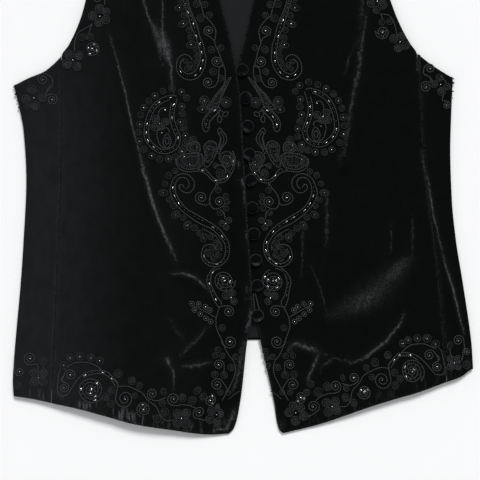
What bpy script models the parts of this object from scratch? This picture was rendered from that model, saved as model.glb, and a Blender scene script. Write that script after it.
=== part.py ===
# Embroidered velvet waistcoat, laid flat on its back with its ten buttons done up.
# X runs towards the wearer's left, Y towards the neck and Z up from the surface it lies on.
# Pieces are named for the wearer's own right and left. Sizes are in millimetres.

import math
from collections import namedtuple

import bmesh
import bpy
import numpy as np

MM = 0.001

# Cloth, and the gap between one piece and the next
FRONT_CLOTH = 2.0  # velvet with its interlining and its turned lining
BACK_CLOTH = 1.6
LINING_CLOTH = 1.0
SEAM_GAP = 0.3

# Heights of the stack, measured to the middle of each wall
UNDER_LAYER = FRONT_CLOTH / 2
LINING_BOTTOM = BACK_CLOTH + SEAM_GAP
LINING_TOP = LINING_BOTTOM + LINING_CLOTH
FRONT_REST = LINING_TOP + SEAM_GAP + FRONT_CLOTH / 2

# Shoulders
SHOULDER_TIP_Y = 285.0
NECK_POINT_Y = 315.6
BACK_NECK_DROP = 20.0
ROLL_ANGLES = (30, 60, 90)  # the front's turn down into the shoulder seam

# Closing: the wearer's right front laps over the left one
LAP_RISE = 2.5
LAP_FLAT = 8.0
LAP_SLOPE = 14.0
LAP_BOTTOM = (-215.0, -190.0)
LAP_TOP = (75.0, 110.0)

# Buttons and their loops
BUTTON_YS = (76.1, 46.1, 15.3, -15.0, -42.9, -73.0, -101.2, -129.6, -157.2, -189.8)
BUTTON_COUNT = len(BUTTON_YS)
BUTTON_FROM_EDGE = 6.1
BUTTON_SIDES = 14
LOOP_RADIUS = 0.75
LOOP_SIDES = 6
SHANK_RADIUS = 2.0
LOOP_TURN = SHANK_RADIUS + SEAM_GAP + LOOP_RADIUS
LOOP_CLEAR = 0.4  # from the right front's edge to the start of a loop
PULLED_LOOP_UP = 24.0  # the lowest loop is sewn this far above its button
PULLED_LOOP_CLEAR = 2.3
PULLED_LOOP_SPREAD = 1.1

# How far the hem's lift reaches up the front, and where its drop starts below the back's hem
LIFT_REACH = 50.0
DROP_CLEAR = 8.0

# How finely the walls are divided
FRONT_COLUMNS = 21
FRONT_ROWS = 35
HEM_ROWS = (0.0, 0.012, 0.03, 0.053)  # extra rows near the hem, as shares of the length
SIDE_COLUMNS = 5
SIDE_ROWS = 24
FOLD_TURNS = 7
BACK_HEM_POINTS = 29
BACK_SEAM_POINTS = 25
BACK_NECK_POINTS = 17

UpRow = namedtuple("UpRow", "y x")  # an edge that runs up the garment
AcrossRow = namedtuple("AcrossRow", "x y")  # an edge that runs across it
HeightRow = namedtuple("HeightRow", "x z")
Mound = namedtuple("Mound", "x y wide long high")
Fold = namedtuple("Fold", "high wide path")
Half = namedtuple("Half", "name out fold seam centre hem side_top back_side_top join_y")
Rim = namedtuple("Rim", "radius z")
Inset = namedtuple("Inset", "side hem armhole shoulder neck join")

# Wearer's right half: the silhouette's folded edge, the front's seam and armhole,
# its closing edge and neckline, the hem, and the side panel's top edge
RIGHT = Half(
    name="right",
    out=-1,
    fold=[
        UpRow(-278.0, -249.2),
        UpRow(-262.0, -250.2),
        UpRow(-233.3, -248.6),
        UpRow(-211.5, -246.8),
        UpRow(-151.5, -241.4),
        UpRow(-107.9, -238.5),
        UpRow(-42.5, -235.5),
        UpRow(12.0, -238.6),
        UpRow(33.8, -242.6),
        UpRow(61.0, -249.2),
    ],
    seam=[
        UpRow(-285.0, -208.0),
        UpRow(-151.5, -202.5),
        UpRow(-20.7, -197.6),
        UpRow(91.6, -197.1),
        UpRow(103.7, -189.5),
        UpRow(120.3, -181.3),
        UpRow(138.7, -174.5),
        UpRow(170.0, -167.4),
        UpRow(202.7, -163.3),
        UpRow(SHOULDER_TIP_Y, -157.8),
    ],
    centre=[
        UpRow(-318.6, -15.0),
        UpRow(-312.5, -9.5),
        UpRow(-282.0, -2.5),
        UpRow(-219.0, 4.7),
        UpRow(-184.0, 10.4),
        UpRow(-93.0, 5.5),
        UpRow(-20.7, 1.2),
        UpRow(38.6, -2.2),
        UpRow(81.0, -7.4),
        UpRow(153.7, -24.4),
        UpRow(219.1, -42.0),
        UpRow(NECK_POINT_Y, -77.7),
    ],
    hem=[
        AcrossRow(-249.2, -278.0),
        AcrossRow(-230.0, -280.6),
        AcrossRow(-208.0, -285.0),
        AcrossRow(-178.0, -291.2),
        AcrossRow(-146.0, -299.8),
        AcrossRow(-119.7, -307.0),
        AcrossRow(-82.9, -313.2),
        AcrossRow(-31.4, -319.6),
        AcrossRow(-15.0, -318.6),
    ],
    side_top=[
        AcrossRow(-249.2, 61.0),
        AcrossRow(-234.8, 68.0),
        AcrossRow(-216.3, 75.3),
        AcrossRow(-206.3, 82.8),
        AcrossRow(-197.1, 91.6),
    ],
    back_side_top=[
        AcrossRow(-249.2, 61.0),
        AcrossRow(-216.3, 72.5),
        AcrossRow(-197.1, 88.0),
    ],
    join_y=91.6,
)

LEFT = Half(
    name="left",
    out=1,
    fold=[
        UpRow(-248.6, 250.6),
        UpRow(-222.4, 249.0),
        UpRow(-200.6, 246.4),
        UpRow(-177.7, 243.0),
        UpRow(-151.5, 238.9),
        UpRow(-107.9, 231.9),
        UpRow(-64.3, 227.5),
        UpRow(-9.8, 225.8),
        UpRow(33.8, 227.0),
        UpRow(69.4, 228.6),
    ],
    seam=[
        UpRow(-262.2, 221.5),
        UpRow(-209.3, 218.2),
        UpRow(-137.3, 211.7),
        UpRow(-64.3, 202.5),
        UpRow(-20.7, 197.4),
        UpRow(94.8, 189.2),
        UpRow(105.3, 182.1),
        UpRow(123.6, 172.1),
        UpRow(143.7, 163.7),
        UpRow(170.0, 155.6),
        UpRow(202.7, 151.2),
        UpRow(SHOULDER_TIP_Y, 146.3),
    ],
    centre=[
        UpRow(-318.2, 44.0),
        UpRow(-314.8, 39.9),
        UpRow(-282.3, 33.6),
        UpRow(-216.9, 18.9),
        UpRow(-197.3, 14.4),
        UpRow(-173.3, 7.4),
        UpRow(-129.7, 2.9),
        UpRow(-51.0, -1.4),
        UpRow(20.7, -5.4),
        UpRow(50.1, -7.6),
        UpRow(75.2, -5.9),
        UpRow(95.2, -2.3),
        UpRow(121.4, 4.2),
        UpRow(153.7, 10.9),
        UpRow(219.1, 28.6),
        UpRow(NECK_POINT_Y, 65.5),
    ],
    hem=[
        AcrossRow(250.6, -248.6),
        AcrossRow(238.9, -256.4),
        AcrossRow(221.5, -262.2),
        AcrossRow(189.6, -273.7),
        AcrossRow(162.6, -281.5),
        AcrossRow(135.1, -290.2),
        AcrossRow(80.5, -309.2),
        AcrossRow(44.0, -318.2),
    ],
    side_top=[
        AcrossRow(189.2, 94.8),
        AcrossRow(203.4, 83.6),
        AcrossRow(216.0, 76.0),
        AcrossRow(228.6, 69.4),
    ],
    back_side_top=[
        AcrossRow(189.2, 91.0),
        AcrossRow(204.0, 80.8),
        AcrossRow(228.6, 69.4),
    ],
    join_y=94.8,
)

BACK_HEM = [
    AcrossRow(-202.5, -270.3),
    AcrossRow(-133.9, -247.4),
    AcrossRow(-57.6, -224.5),
    AcrossRow(2.0, -216.6),
    AcrossRow(24.0, -216.6),
    AcrossRow(84.1, -222.4),
    AcrossRow(160.4, -234.4),
    AcrossRow(219.3, -246.3),
]

# How far the back and its lining stop inside the pattern's outline. The back reaches past the
# shoulder line, under the fronts' roll. Below its join each side edge is the side seam's.
BACK_INSET = Inset(SEAM_GAP / 2, 0.0, 1.6, -1.8, 0.0, 4.0)
LINING_INSET = Inset(4.0, 2.2, 3.6, 1.0, 1.6, 4.0)

# Height of the middle of the wall along the front hem
HEM_HEIGHTS = [
    HeightRow(-250.0, 4.3),
    HeightRow(-208.0, 6.0),
    HeightRow(-155.0, 9.0),
    HeightRow(-100.0, 9.2),
    HeightRow(-60.0, 6.2),
    HeightRow(-28.0, 2.4),
    HeightRow(-10.0, 1.6),
    HeightRow(20.0, 1.6),
    HeightRow(45.0, 1.6),
    HeightRow(85.0, 3.2),
    HeightRow(135.0, 6.0),
    HeightRow(190.0, 6.6),
    HeightRow(222.0, 5.4),
    HeightRow(250.0, 4.3),
]

# Fullness of the fronts over the back
MOUNDS = [
    Mound(-95.0, 55.0, 58.0, 85.0, 2.8),
    Mound(-120.0, -120.0, 55.0, 80.0, 2.2),
    Mound(105.0, 60.0, 55.0, 85.0, 2.8),
    Mound(120.0, -120.0, 52.0, 80.0, 2.4),
    Mound(-110.0, 215.0, 30.0, 60.0, 1.2),
    Mound(98.0, 215.0, 30.0, 60.0, 1.2),
]

# The largest folds: height, half width, and the line of the crest as (x, y)
FOLDS = [
    Fold(2.6, 11.0, [(-146, 117), (-127, 50), (-113, -10), (-97, -70), (-71, -132)]),
    Fold(2.8, 13.0, [(-109, 155), (-92, 118), (-79, 68), (-73, 40)]),
    Fold(1.8, 11.0, [(-74, -145), (-58, -150), (-40, -163)]),
    Fold(1.8, 11.0, [(-84, -240), (-58, -226), (-36, -200)]),
    Fold(2.8, 13.0, [(132, 150), (126, 82), (117, 30), (104, -26)]),
    Fold(3.0, 20.0, [(100, -196), (138, -163), (176, -134)]),
    Fold(2.4, 12.0, [(175, -193), (158, -220), (123, -240)]),
    Fold(2.0, 11.0, [(52, -225), (80, -230), (70, -262)]),
    Fold(2.2, 11.0, [(205, -62), (213, -104), (224, -158), (237, -206)]),
]

# Side view of a covered button from its shank to its crown
BUTTON_RIMS = [
    Rim(SHANK_RADIUS, 0.0),
    Rim(SHANK_RADIUS, 2.3),
    Rim(5.7, 2.3),
    Rim(6.6, 3.0),
    Rim(6.3, 4.0),
    Rim(4.4, 5.1),
    Rim(2.0, 5.5),
]

VELVET_LOOK = ((0.0052, 0.0055, 0.0056, 1.0), 0.82)
LINING_LOOK = ((0.022, 0.023, 0.027, 1.0), 0.55)
BUTTON_LOOK = ((0.0048, 0.0048, 0.0052, 1.0), 0.75)
LOOP_LOOK = ((0.006, 0.006, 0.0066, 1.0), 0.6)


def smooth(rows, at):
    """Value of the smooth curve through rows of (position, value), which never overshoots them."""
    places, values = np.array(sorted(rows), float).T
    at = np.clip(at, places[0], places[-1])
    steps = np.diff(places)
    slopes = np.diff(values) / steps
    tangents = np.concatenate([slopes[:1], np.zeros(len(slopes) - 1), slopes[-1:]])
    for i in range(1, len(slopes)):
        before, after = slopes[i - 1], slopes[i]
        if before * after > 0:
            first = 2 * steps[i] + steps[i - 1]
            second = steps[i] + 2 * steps[i - 1]
            tangents[i] = (first + second) / (first / before + second / after)
    i = np.clip(np.searchsorted(places, at, side="right") - 1, 0, len(steps) - 1)
    t = (at - places[i]) / steps[i]
    value = values[i] * (1 + 2 * t) * (1 - t) ** 2 + values[i + 1] * t * t * (3 - 2 * t)
    bend = tangents[i] * t * (1 - t) ** 2 - tangents[i + 1] * t * t * (1 - t)
    return value + bend * steps[i]


def ease(t):
    """0 below 0, 1 above 1, and a soft step between."""
    t = np.clip(t, 0.0, 1.0)
    return t * t * (3 - 2 * t)


def mix(a, b, t):
    return a + (b - a) * t


def ridge(fold, x, y):
    """Height that one fold adds: a rounded crest that dies away at both ends of its line."""
    path = np.array(fold.path, float)
    lengths = np.linalg.norm(np.diff(path, axis=0), axis=1)
    nearest = np.full(np.shape(x), np.inf)
    along = np.zeros(np.shape(x))
    done = 0.0
    for start, end, length in zip(path[:-1], path[1:], lengths):
        way = (end - start) / length
        t = np.clip((x - start[0]) * way[0] + (y - start[1]) * way[1], 0, length)
        off = np.hypot(x - start[0] - way[0] * t, y - start[1] - way[1] * t)
        closer = off < nearest
        nearest = np.where(closer, off, nearest)
        along = np.where(closer, (done + t) / lengths.sum(), along)
        done += length
    crest = np.sin(math.pi * np.clip(along, 0.04, 0.96)) ** 0.7
    return fold.high * crest * np.exp(-((nearest / (0.6 * fold.wide)) ** 2))


def lying_height(x, y):
    """Height of the middle of the upper wall, which rises or falls towards the hem."""
    hem = np.where(x < 0, smooth(RIGHT.hem, x), smooth(LEFT.hem, x))
    back_hem = smooth(BACK_HEM, x)
    at_hem = smooth(HEM_HEIGHTS, x)
    start = np.where(at_hem < FRONT_REST, back_hem - DROP_CLEAR, hem + LIFT_REACH)
    height = mix(FRONT_REST, at_hem, ease((start - y) / (start - hem)))
    for mound in MOUNDS:
        away = ((x - mound.x) / mound.wide) ** 2 + ((y - mound.y) / mound.long) ** 2
        height = height + mound.high * np.exp(-away)
    for fold in FOLDS:
        height = height + ridge(fold, x, y)
    return height


def lap(x, y):
    """Extra height of the wearer's right front where it laps over the left one."""
    from_edge = smooth(RIGHT.centre, y) - x
    across = ease((LAP_FLAT + LAP_SLOPE - from_edge) / LAP_SLOPE)
    up = ease((y - LAP_BOTTOM[0]) / (LAP_BOTTOM[1] - LAP_BOTTOM[0]))
    down = ease((LAP_TOP[1] - y) / (LAP_TOP[1] - LAP_TOP[0]))
    return LAP_RISE * across * up * down


def look(name, colour, roughness):
    material = bpy.data.materials.new(name)
    material.use_nodes = True
    shader = material.node_tree.nodes["Principled BSDF"]
    shader.inputs["Base Color"].default_value = colour
    shader.inputs["Roughness"].default_value = roughness
    shader.inputs["Metallic"].default_value = 0.0
    material.diffuse_color = colour
    return material


def solid(name, points, faces, material):
    """A closed object from points in millimetres, with its faces turned outwards."""
    mesh = bpy.data.meshes.new(name)
    mesh.from_pydata([tuple(p) for p in np.asarray(points) * MM], [], faces)
    shape = bmesh.new()
    shape.from_mesh(mesh)
    bmesh.ops.recalc_face_normals(shape, faces=shape.faces)
    if shape.calc_volume(signed=True) < 0:
        bmesh.ops.reverse_faces(shape, faces=shape.faces)
    shape.to_mesh(mesh)
    shape.free()
    mesh.shade_smooth()
    mesh.set_sharp_from_angle(angle=math.radians(50))
    mesh.materials.append(material)
    made = bpy.data.objects.new(name, mesh)
    bpy.context.scene.collection.objects.link(made)
    return made


def wall(name, middle, thickness, material):
    """A cloth wall of even thickness around a grid of points on its middle surface."""
    rows, columns = middle.shape[:2]
    along = np.gradient(middle, axis=0)
    across = np.gradient(middle, axis=1)
    normals = np.cross(across, along)
    normals /= np.linalg.norm(normals, axis=2, keepdims=True)
    upper = (middle + normals * thickness / 2).reshape(-1, 3)
    lower = (middle - normals * thickness / 2).reshape(-1, 3)
    count = rows * columns
    faces = []
    for r in range(rows - 1):
        for c in range(columns - 1):
            a = r * columns + c
            b = a + columns
            faces.append((a, a + 1, b + 1, b))
            faces.append((a + count, b + count, b + 1 + count, a + 1 + count))
    bottom = list(range(columns))
    right = [r * columns + columns - 1 for r in range(rows)]
    top = [(rows - 1) * columns + c for c in reversed(range(columns))]
    left = [r * columns for r in reversed(range(rows))]
    rim = bottom[:-1] + right[:-1] + top[:-1] + left[:-1]
    for a, b in zip(rim, rim[1:] + rim[:1]):
        faces.append((b, a, a + count, b + count))
    return solid(name, np.concatenate([upper, lower]), faces, material)


def slab(name, outline, bottom, thickness, material):
    """A flat cloth wall with the given outline."""
    count = len(outline)
    low = [(x, y, bottom) for x, y in outline]
    high = [(x, y, bottom + thickness) for x, y in outline]
    faces = [tuple(range(count)), tuple(reversed(range(count, 2 * count)))]
    for i in range(count):
        j = (i + 1) % count
        faces.append((i, j, j + count, i + count))
    return solid(name, low + high, faces, material)


def front_rows():
    """Positions up the front from hem to shoulder, closer together at the hem."""
    return np.concatenate([HEM_ROWS, np.linspace(0.08, 1.0, FRONT_ROWS)])


def front_columns():
    """Positions across the front from seam to closing edge, closer together at the closing."""
    return 1 - (1 - np.linspace(0.0, 1.0, FRONT_COLUMNS)) ** 1.25


def shoulder_normal(half):
    """Direction in the plane, square to the shoulder seam, pointing off the garment."""
    run = half.centre[-1].x - half.seam[-1].x
    rise = NECK_POINT_Y - SHOULDER_TIP_Y
    way = np.array([-rise * np.sign(run), abs(run)])
    return way / np.linalg.norm(way)


def front(half, material):
    """One front: rows from hem to shoulder, then the roll into the shoulder seam."""
    v, u = np.meshgrid(front_rows(), front_columns(), indexing="ij")
    y_out = mix(half.seam[0].y, SHOULDER_TIP_Y, v)
    y_in = mix(half.centre[0].y, NECK_POINT_Y, v)
    seam_x = smooth(half.seam, y_out) - half.out * SEAM_GAP / 2
    x = mix(seam_x, smooth(half.centre, y_in), u)
    y = mix(y_out, y_in, u)
    hem_bow = smooth(half.hem, x[0]) - y[0]
    y = y + hem_bow[None, :] * (1 - v) ** 4
    z = lying_height(x, y)
    if half is RIGHT:
        z = z + lap(x, y)
    middle = np.stack([x, y, z], axis=2)
    off = shoulder_normal(half)
    last = middle[-1]
    rolled = []
    for turn in ROLL_ANGLES:
        angle = math.radians(turn)
        radius = last[:, 2] - UNDER_LAYER
        out = radius * math.sin(angle)
        row = last.copy()
        row[:, 0] += off[0] * out
        row[:, 1] += off[1] * out
        row[:, 2] = UNDER_LAYER + radius * math.cos(angle)
        rolled.append(row)
    middle = np.concatenate([middle, np.array(rolled)])
    return wall(f"{half.name}_front", middle, FRONT_CLOTH, material)


def side(half, material):
    """A side panel: from the front seam out to the fold, round it, and back under to the back seam."""
    across = np.linspace(0.0, 1.0, SIDE_COLUMNS)
    turns = np.radians(np.linspace(0, 180, FOLD_TURNS))[1:-1]
    stations = [("over", f, 0.0) for f in across]
    stations += [("fold", 1.0, turn) for turn in turns]
    stations += [("under", f, math.pi) for f in reversed(across)]
    rows = np.linspace(0.0, 1.0, SIDE_ROWS)
    fold_top = half.fold[-1]
    fold_bottom = half.fold[0]
    columns = []
    for place, f, turn in stations:
        top_table = half.back_side_top if place == "under" else half.side_top
        join_x = float(smooth(half.seam, half.join_y))
        top_y = float(smooth(top_table, mix(join_x, fold_top.x, f)))
        hem_x = mix(half.seam[0].x, fold_bottom.x, f)
        hem_y = float(smooth(half.hem, hem_x))
        if place == "under":
            back_y = float(smooth(BACK_HEM, half.seam[0].x))
            hem_y = mix(back_y, fold_bottom.y, f)
        y = mix(hem_y, top_y, rows)
        fold_x = smooth(half.fold, y)
        inner = fold_x - half.out * (FRONT_REST + FRONT_CLOTH) / 2
        over_z = lying_height(inner, y)
        radius = (over_z - UNDER_LAYER) / 2
        centre_x = fold_x - half.out * (radius + FRONT_CLOTH / 2)
        seam_x = smooth(half.seam, y) + half.out * SEAM_GAP / 2
        x = mix(seam_x, centre_x, f) + half.out * radius * math.sin(turn)
        if place == "over":
            z = lying_height(x, y)
            z = mix(z, over_z, f)
        else:
            z = UNDER_LAYER + radius * (1 + math.cos(turn))
        columns.append(np.stack([x, y, z], axis=1))
    middle = np.stack(columns, axis=1)
    return wall(f"{half.name}_side", middle, FRONT_CLOTH, material)


def back_edge(half, inset, y):
    """The back's side edge: the seam with the side panel, then the armhole above it."""
    by = np.where(y <= half.join_y - inset.join, inset.side, inset.armhole)
    return smooth(half.seam, y) - half.out * by


def back_shoulder(half, inset):
    """The tip and the neck end of one shoulder of the back."""
    off = -shoulder_normal(half) * inset.shoulder
    tip = np.array([float(back_edge(half, inset, SHOULDER_TIP_Y)), SHOULDER_TIP_Y])
    neck = np.array([half.centre[-1].x, NECK_POINT_Y])
    return tip + off, neck + off


def back_outline(inset):
    """The outline of the back or its lining, anticlockwise from the foot of its right seam."""
    foot_x = [float(back_edge(half, inset, BACK_HEM[i].y)) for half, i in ((RIGHT, 0), (LEFT, -1))]
    hem_x = np.linspace(foot_x[0], foot_x[1], BACK_HEM_POINTS)
    hem_y = smooth(BACK_HEM, hem_x) + inset.hem
    points = list(zip(hem_x, hem_y))
    up = np.linspace(0.0, 1.0, BACK_SEAM_POINTS + 1)[1:-1]
    left_y = mix(hem_y[-1], SHOULDER_TIP_Y, up)
    points += [(float(back_edge(LEFT, inset, y)), y) for y in left_y]
    left_tip, left_neck = back_shoulder(LEFT, inset)
    right_tip, right_neck = back_shoulder(RIGHT, inset)
    points.append(tuple(left_tip))
    middle = (left_neck + right_neck) / 2
    reach = (left_neck[0] - right_neck[0]) / 2
    drop = BACK_NECK_DROP + inset.neck
    for angle in np.linspace(0, math.pi, BACK_NECK_POINTS):
        points.append((middle[0] + reach * math.cos(angle), middle[1] - drop * math.sin(angle)))
    points.append(tuple(right_tip))
    right_y = mix(hem_y[0], SHOULDER_TIP_Y, up[::-1])
    points += [(float(back_edge(RIGHT, inset, y)), y) for y in right_y]
    return points


def square_to(normal):
    """Two directions square to a normal and to each other."""
    first = np.cross((0.0, 1.0, 0.0), normal)
    first /= np.linalg.norm(first)
    return first, np.cross(normal, first)


def top_of_left_front(x, y):
    return lying_height(x, y) + FRONT_CLOTH / 2


def slope_normal(x, y, step=2.0):
    """Normal of the left front's outer face."""
    dx = (top_of_left_front(x + step, y) - top_of_left_front(x - step, y)) / (2 * step)
    dy = (top_of_left_front(x, y + step) - top_of_left_front(x, y - step)) / (2 * step)
    normal = np.array([-float(dx), -float(dy), 1.0])
    return normal / np.linalg.norm(normal)


def button_place(number):
    y = BUTTON_YS[number - 1]
    return float(smooth(RIGHT.centre, y)) + BUTTON_FROM_EDGE, y


def button(number, material):
    """A covered button: a round shank and a domed head, standing on the left front."""
    x, y = button_place(number)
    normal = slope_normal(x, y)
    first, second = square_to(normal)
    base = np.array([x, y, float(top_of_left_front(x, y)) + SEAM_GAP])
    points, faces = [], []
    for rim in BUTTON_RIMS:
        for k in range(BUTTON_SIDES):
            angle = 2 * math.pi * k / BUTTON_SIDES
            round_it = first * math.cos(angle) + second * math.sin(angle)
            points.append(base + normal * rim.z + round_it * rim.radius)
    for ring in range(len(BUTTON_RIMS) - 1):
        for k in range(BUTTON_SIDES):
            a = ring * BUTTON_SIDES + k
            b = ring * BUTTON_SIDES + (k + 1) % BUTTON_SIDES
            faces.append((a, b, b + BUTTON_SIDES, a + BUTTON_SIDES))
    faces.append(tuple(reversed(range(BUTTON_SIDES))))
    last = (len(BUTTON_RIMS) - 1) * BUTTON_SIDES
    faces.append(tuple(range(last, last + BUTTON_SIDES)))
    return solid(f"button_{number:02d}", points, faces, material)


def tube(name, line, radius, sides, material):
    """A round cord along a line of points, with flat ends."""
    line = np.asarray(line, float)
    ways = np.gradient(line, axis=0)
    ways /= np.linalg.norm(ways, axis=1, keepdims=True)
    points, faces = [], []
    for place, way in zip(line, ways):
        flat = np.cross(way, (0.0, 0.0, 1.0))
        flat /= np.linalg.norm(flat)
        steep = np.cross(flat, way)
        for k in range(sides):
            angle = 2 * math.pi * k / sides
            points.append(place + (flat * math.cos(angle) + steep * math.sin(angle)) * radius)
    for ring in range(len(line) - 1):
        for k in range(sides):
            a = ring * sides + k
            b = ring * sides + (k + 1) % sides
            faces.append((a, b, b + sides, a + sides))
    faces.append(tuple(reversed(range(sides))))
    last = (len(line) - 1) * sides
    faces.append(tuple(range(last, last + sides)))
    return solid(name, points, faces, material)


def loop_root(centre, pulled):
    """Where a loop leaves the right front's edge, and half the spread of its two legs there."""
    y = centre[1] + (PULLED_LOOP_UP if pulled else 0.0)
    x = float(smooth(RIGHT.centre, y))
    if pulled:
        return np.array([x + PULLED_LOOP_CLEAR, y]), PULLED_LOOP_SPREAD
    return np.array([x + LOOP_CLEAR, y]), LOOP_TURN


def loop(number, material):
    """A cord loop: out of the right front's edge, round the button's shank, and back."""
    centre = np.array(button_place(number))
    pulled = number == BUTTON_COUNT
    root, spread = loop_root(centre, pulled)
    way = (centre - root) / np.linalg.norm(centre - root)
    wide = np.array([-way[1], way[0]])
    starts = {hand: root + hand * wide * spread for hand in (1, -1)}
    if not pulled:
        for start in starts.values():
            start[0] = float(smooth(RIGHT.centre, start[1])) + LOOP_CLEAR
    ends = {hand: centre + hand * wide * LOOP_TURN for hand in (1, -1)}
    flat = [mix(starts[1], ends[1], t) for t in (0.0, 0.5)]
    for turn in np.linspace(90, -90, 9):
        angle = math.radians(turn)
        flat.append(centre + LOOP_TURN * (way * math.cos(angle) + wide * math.sin(angle)))
    flat += [mix(starts[-1], ends[-1], t) for t in (0.5, 0.0)]
    rise = SEAM_GAP + LOOP_RADIUS
    line = [(px, py, float(top_of_left_front(px, py)) + rise) for px, py in flat]
    return tube(f"loop_{number:02d}", line, LOOP_RADIUS, LOOP_SIDES, material)


def main():
    for old in list(bpy.data.objects):
        bpy.data.objects.remove(old)
    velvet = look("velvet", *VELVET_LOOK)
    lining = look("lining", *LINING_LOOK)
    covered = look("covered_button", *BUTTON_LOOK)
    cord = look("loop_cord", *LOOP_LOOK)

    slab("back", back_outline(BACK_INSET), 0.0, BACK_CLOTH, velvet)
    slab("back_lining", back_outline(LINING_INSET), LINING_BOTTOM, LINING_CLOTH, lining)
    for half in (RIGHT, LEFT):
        side(half, velvet)
        front(half, velvet)
    for number in range(1, BUTTON_COUNT + 1):
        button(number, covered)
        loop(number, cord)


main()
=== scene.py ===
import math

import bpy
import numpy as np
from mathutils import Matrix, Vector


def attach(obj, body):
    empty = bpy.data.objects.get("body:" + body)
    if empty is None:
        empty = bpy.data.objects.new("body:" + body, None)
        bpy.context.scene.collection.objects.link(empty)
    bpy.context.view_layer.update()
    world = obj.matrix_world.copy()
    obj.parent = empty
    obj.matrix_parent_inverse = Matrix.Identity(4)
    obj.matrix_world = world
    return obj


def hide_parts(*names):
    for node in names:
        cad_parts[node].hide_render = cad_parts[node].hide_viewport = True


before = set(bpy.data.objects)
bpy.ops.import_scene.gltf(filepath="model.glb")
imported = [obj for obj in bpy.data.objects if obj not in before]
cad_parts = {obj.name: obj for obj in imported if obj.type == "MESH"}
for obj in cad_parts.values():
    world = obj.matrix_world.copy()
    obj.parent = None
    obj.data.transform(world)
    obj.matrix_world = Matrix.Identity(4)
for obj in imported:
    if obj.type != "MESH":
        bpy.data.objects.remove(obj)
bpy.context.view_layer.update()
print("frame loaded:", len(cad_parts), "solids")

mm = 0.001  # the shapes below are worked out in millimetres

# Camera, floor and light

view = {
    "centre": (-3.05, -107.9),  # what the middle of the picture looks at
    "width": 523.2,
    "lens": 100.0,
    "sensor": 36.0,
    "floorSize": 6000.0,
    "floorHeight": -0.05,
    "floorTone": (0.95, 0.95, 0.955, 1.0),
    "sky": (0.98, 0.99, 1.0, 1.0),
    "skyStrength": 0.44,
}

suns = [  # name, direction to the light, strength, spread in degrees
    ("keyLight", (0.2, 0.75, 0.75), 2.5, 20.0),
    ("fillLight", (-1.1, 0.15, 0.9), 0.1, 50.0),
]


def setCamera():
    camera = bpy.data.cameras.new("overheadCamera")
    camera.lens = view["lens"]
    camera.sensor_width = view["sensor"]
    camera.clip_end = 50.0
    eye = bpy.data.objects.new("overheadCamera", camera)
    away = view["width"] * view["lens"] / view["sensor"]
    eye.location = (view["centre"][0] * mm, view["centre"][1] * mm, away * mm)
    bpy.context.scene.collection.objects.link(eye)
    bpy.context.scene.camera = eye


def setLight():
    for name, towards, strength, spread in suns:
        light = bpy.data.lights.new(name, "SUN")
        light.energy = strength
        light.angle = math.radians(spread)
        lamp = bpy.data.objects.new(name, light)
        lamp.rotation_mode = "QUATERNION"
        lamp.rotation_quaternion = Vector(towards).to_track_quat("Z", "Y")
        bpy.context.scene.collection.objects.link(lamp)
    world = bpy.data.worlds.new("paleRoom")
    world.use_nodes = True
    back = world.node_tree.nodes["Background"]
    back.inputs["Color"].default_value = view["sky"]
    back.inputs["Strength"].default_value = view["skyStrength"]
    bpy.context.scene.world = world
    bpy.context.scene.view_settings.view_transform = "Standard"
    bpy.context.scene.view_settings.look = "None"


# Shader maths

class Wire:
    def __init__(self, paint, socket):
        self.paint = paint
        self.socket = socket

    def maths(self, operation, *others):
        return self.paint.node("ShaderNodeMath", {"operation": operation}, [self, *others])

    def __add__(self, other):
        return self.maths("ADD", other)

    def __sub__(self, other):
        return self.maths("SUBTRACT", other)

    def __rsub__(self, other):
        return self.paint.node("ShaderNodeMath", {"operation": "SUBTRACT"}, [other, self])

    def __mul__(self, other):
        return self.maths("MULTIPLY", other)

    def __pow__(self, other):
        return self.maths("POWER", other)

    __radd__ = __add__
    __rmul__ = __mul__


class Paint:
    def __init__(self, name, constants):
        self.material = bpy.data.materials.new(name)
        self.material.use_nodes = True
        self.tree = self.material.node_tree
        self.shader = self.tree.nodes["Principled BSDF"]
        for socket, value in constants.items():
            self.shader.inputs[socket].default_value = value

    def node(self, kind, settings=None, inputs=(), output=0):
        made = self.tree.nodes.new(kind)
        for key, value in (settings or {}).items():
            setattr(made, key, value)
        pairs = inputs.items() if isinstance(inputs, dict) else enumerate(inputs)
        for key, value in pairs:
            self.join(value, made.inputs[key])
        return Wire(self, made.outputs[output])

    def join(self, value, socket):
        if isinstance(value, Wire):
            self.tree.links.new(value.socket, socket)
        else:
            socket.default_value = value

    def finish(self, **sockets):
        for name, value in sockets.items():
            self.join(value, self.shader.inputs[name.replace("_", " ")])
        return self.material

    def place(self, stretch=(1.0, 1.0, 1.0)):  # metres on the garment, stretched
        here = self.node("ShaderNodeTexCoord", output="Object")
        return self.node("ShaderNodeVectorMath", {"operation": "MULTIPLY"}, [here, stretch])

    def noise(self, scale, detail=3.0, rough=0.6, stretch=(1.0, 1.0, 1.0)):
        sockets = {"Vector": self.place(stretch), "Scale": scale, "Detail": detail, "Roughness": rough}
        return self.node("ShaderNodeTexNoise", {}, sockets)

    def attribute(self, name):
        settings = {"attribute_type": "GEOMETRY", "attribute_name": name}
        return self.node("ShaderNodeAttribute", settings, output="Fac")

    def fit(self, value, low, high):  # 0 at low and 1 at high
        sockets = {"Value": value, "From Min": low, "From Max": high}
        return self.node("ShaderNodeMapRange", {"clamp": True}, sockets)

    def blend(self, share, first, second):
        settings = {"data_type": "RGBA"}
        sockets = {"Factor": share, 6: first, 7: second}
        return self.node("ShaderNodeMix", settings, sockets, output=2)

    def clamp(self, value):
        return self.node("ShaderNodeClamp", {}, [value])

    def bump(self, height, strength, distance):
        sockets = {"Height": height, "Strength": strength, "Distance": distance * mm}
        return self.node("ShaderNodeBump", {}, sockets)


# Cut of the garment

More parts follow.
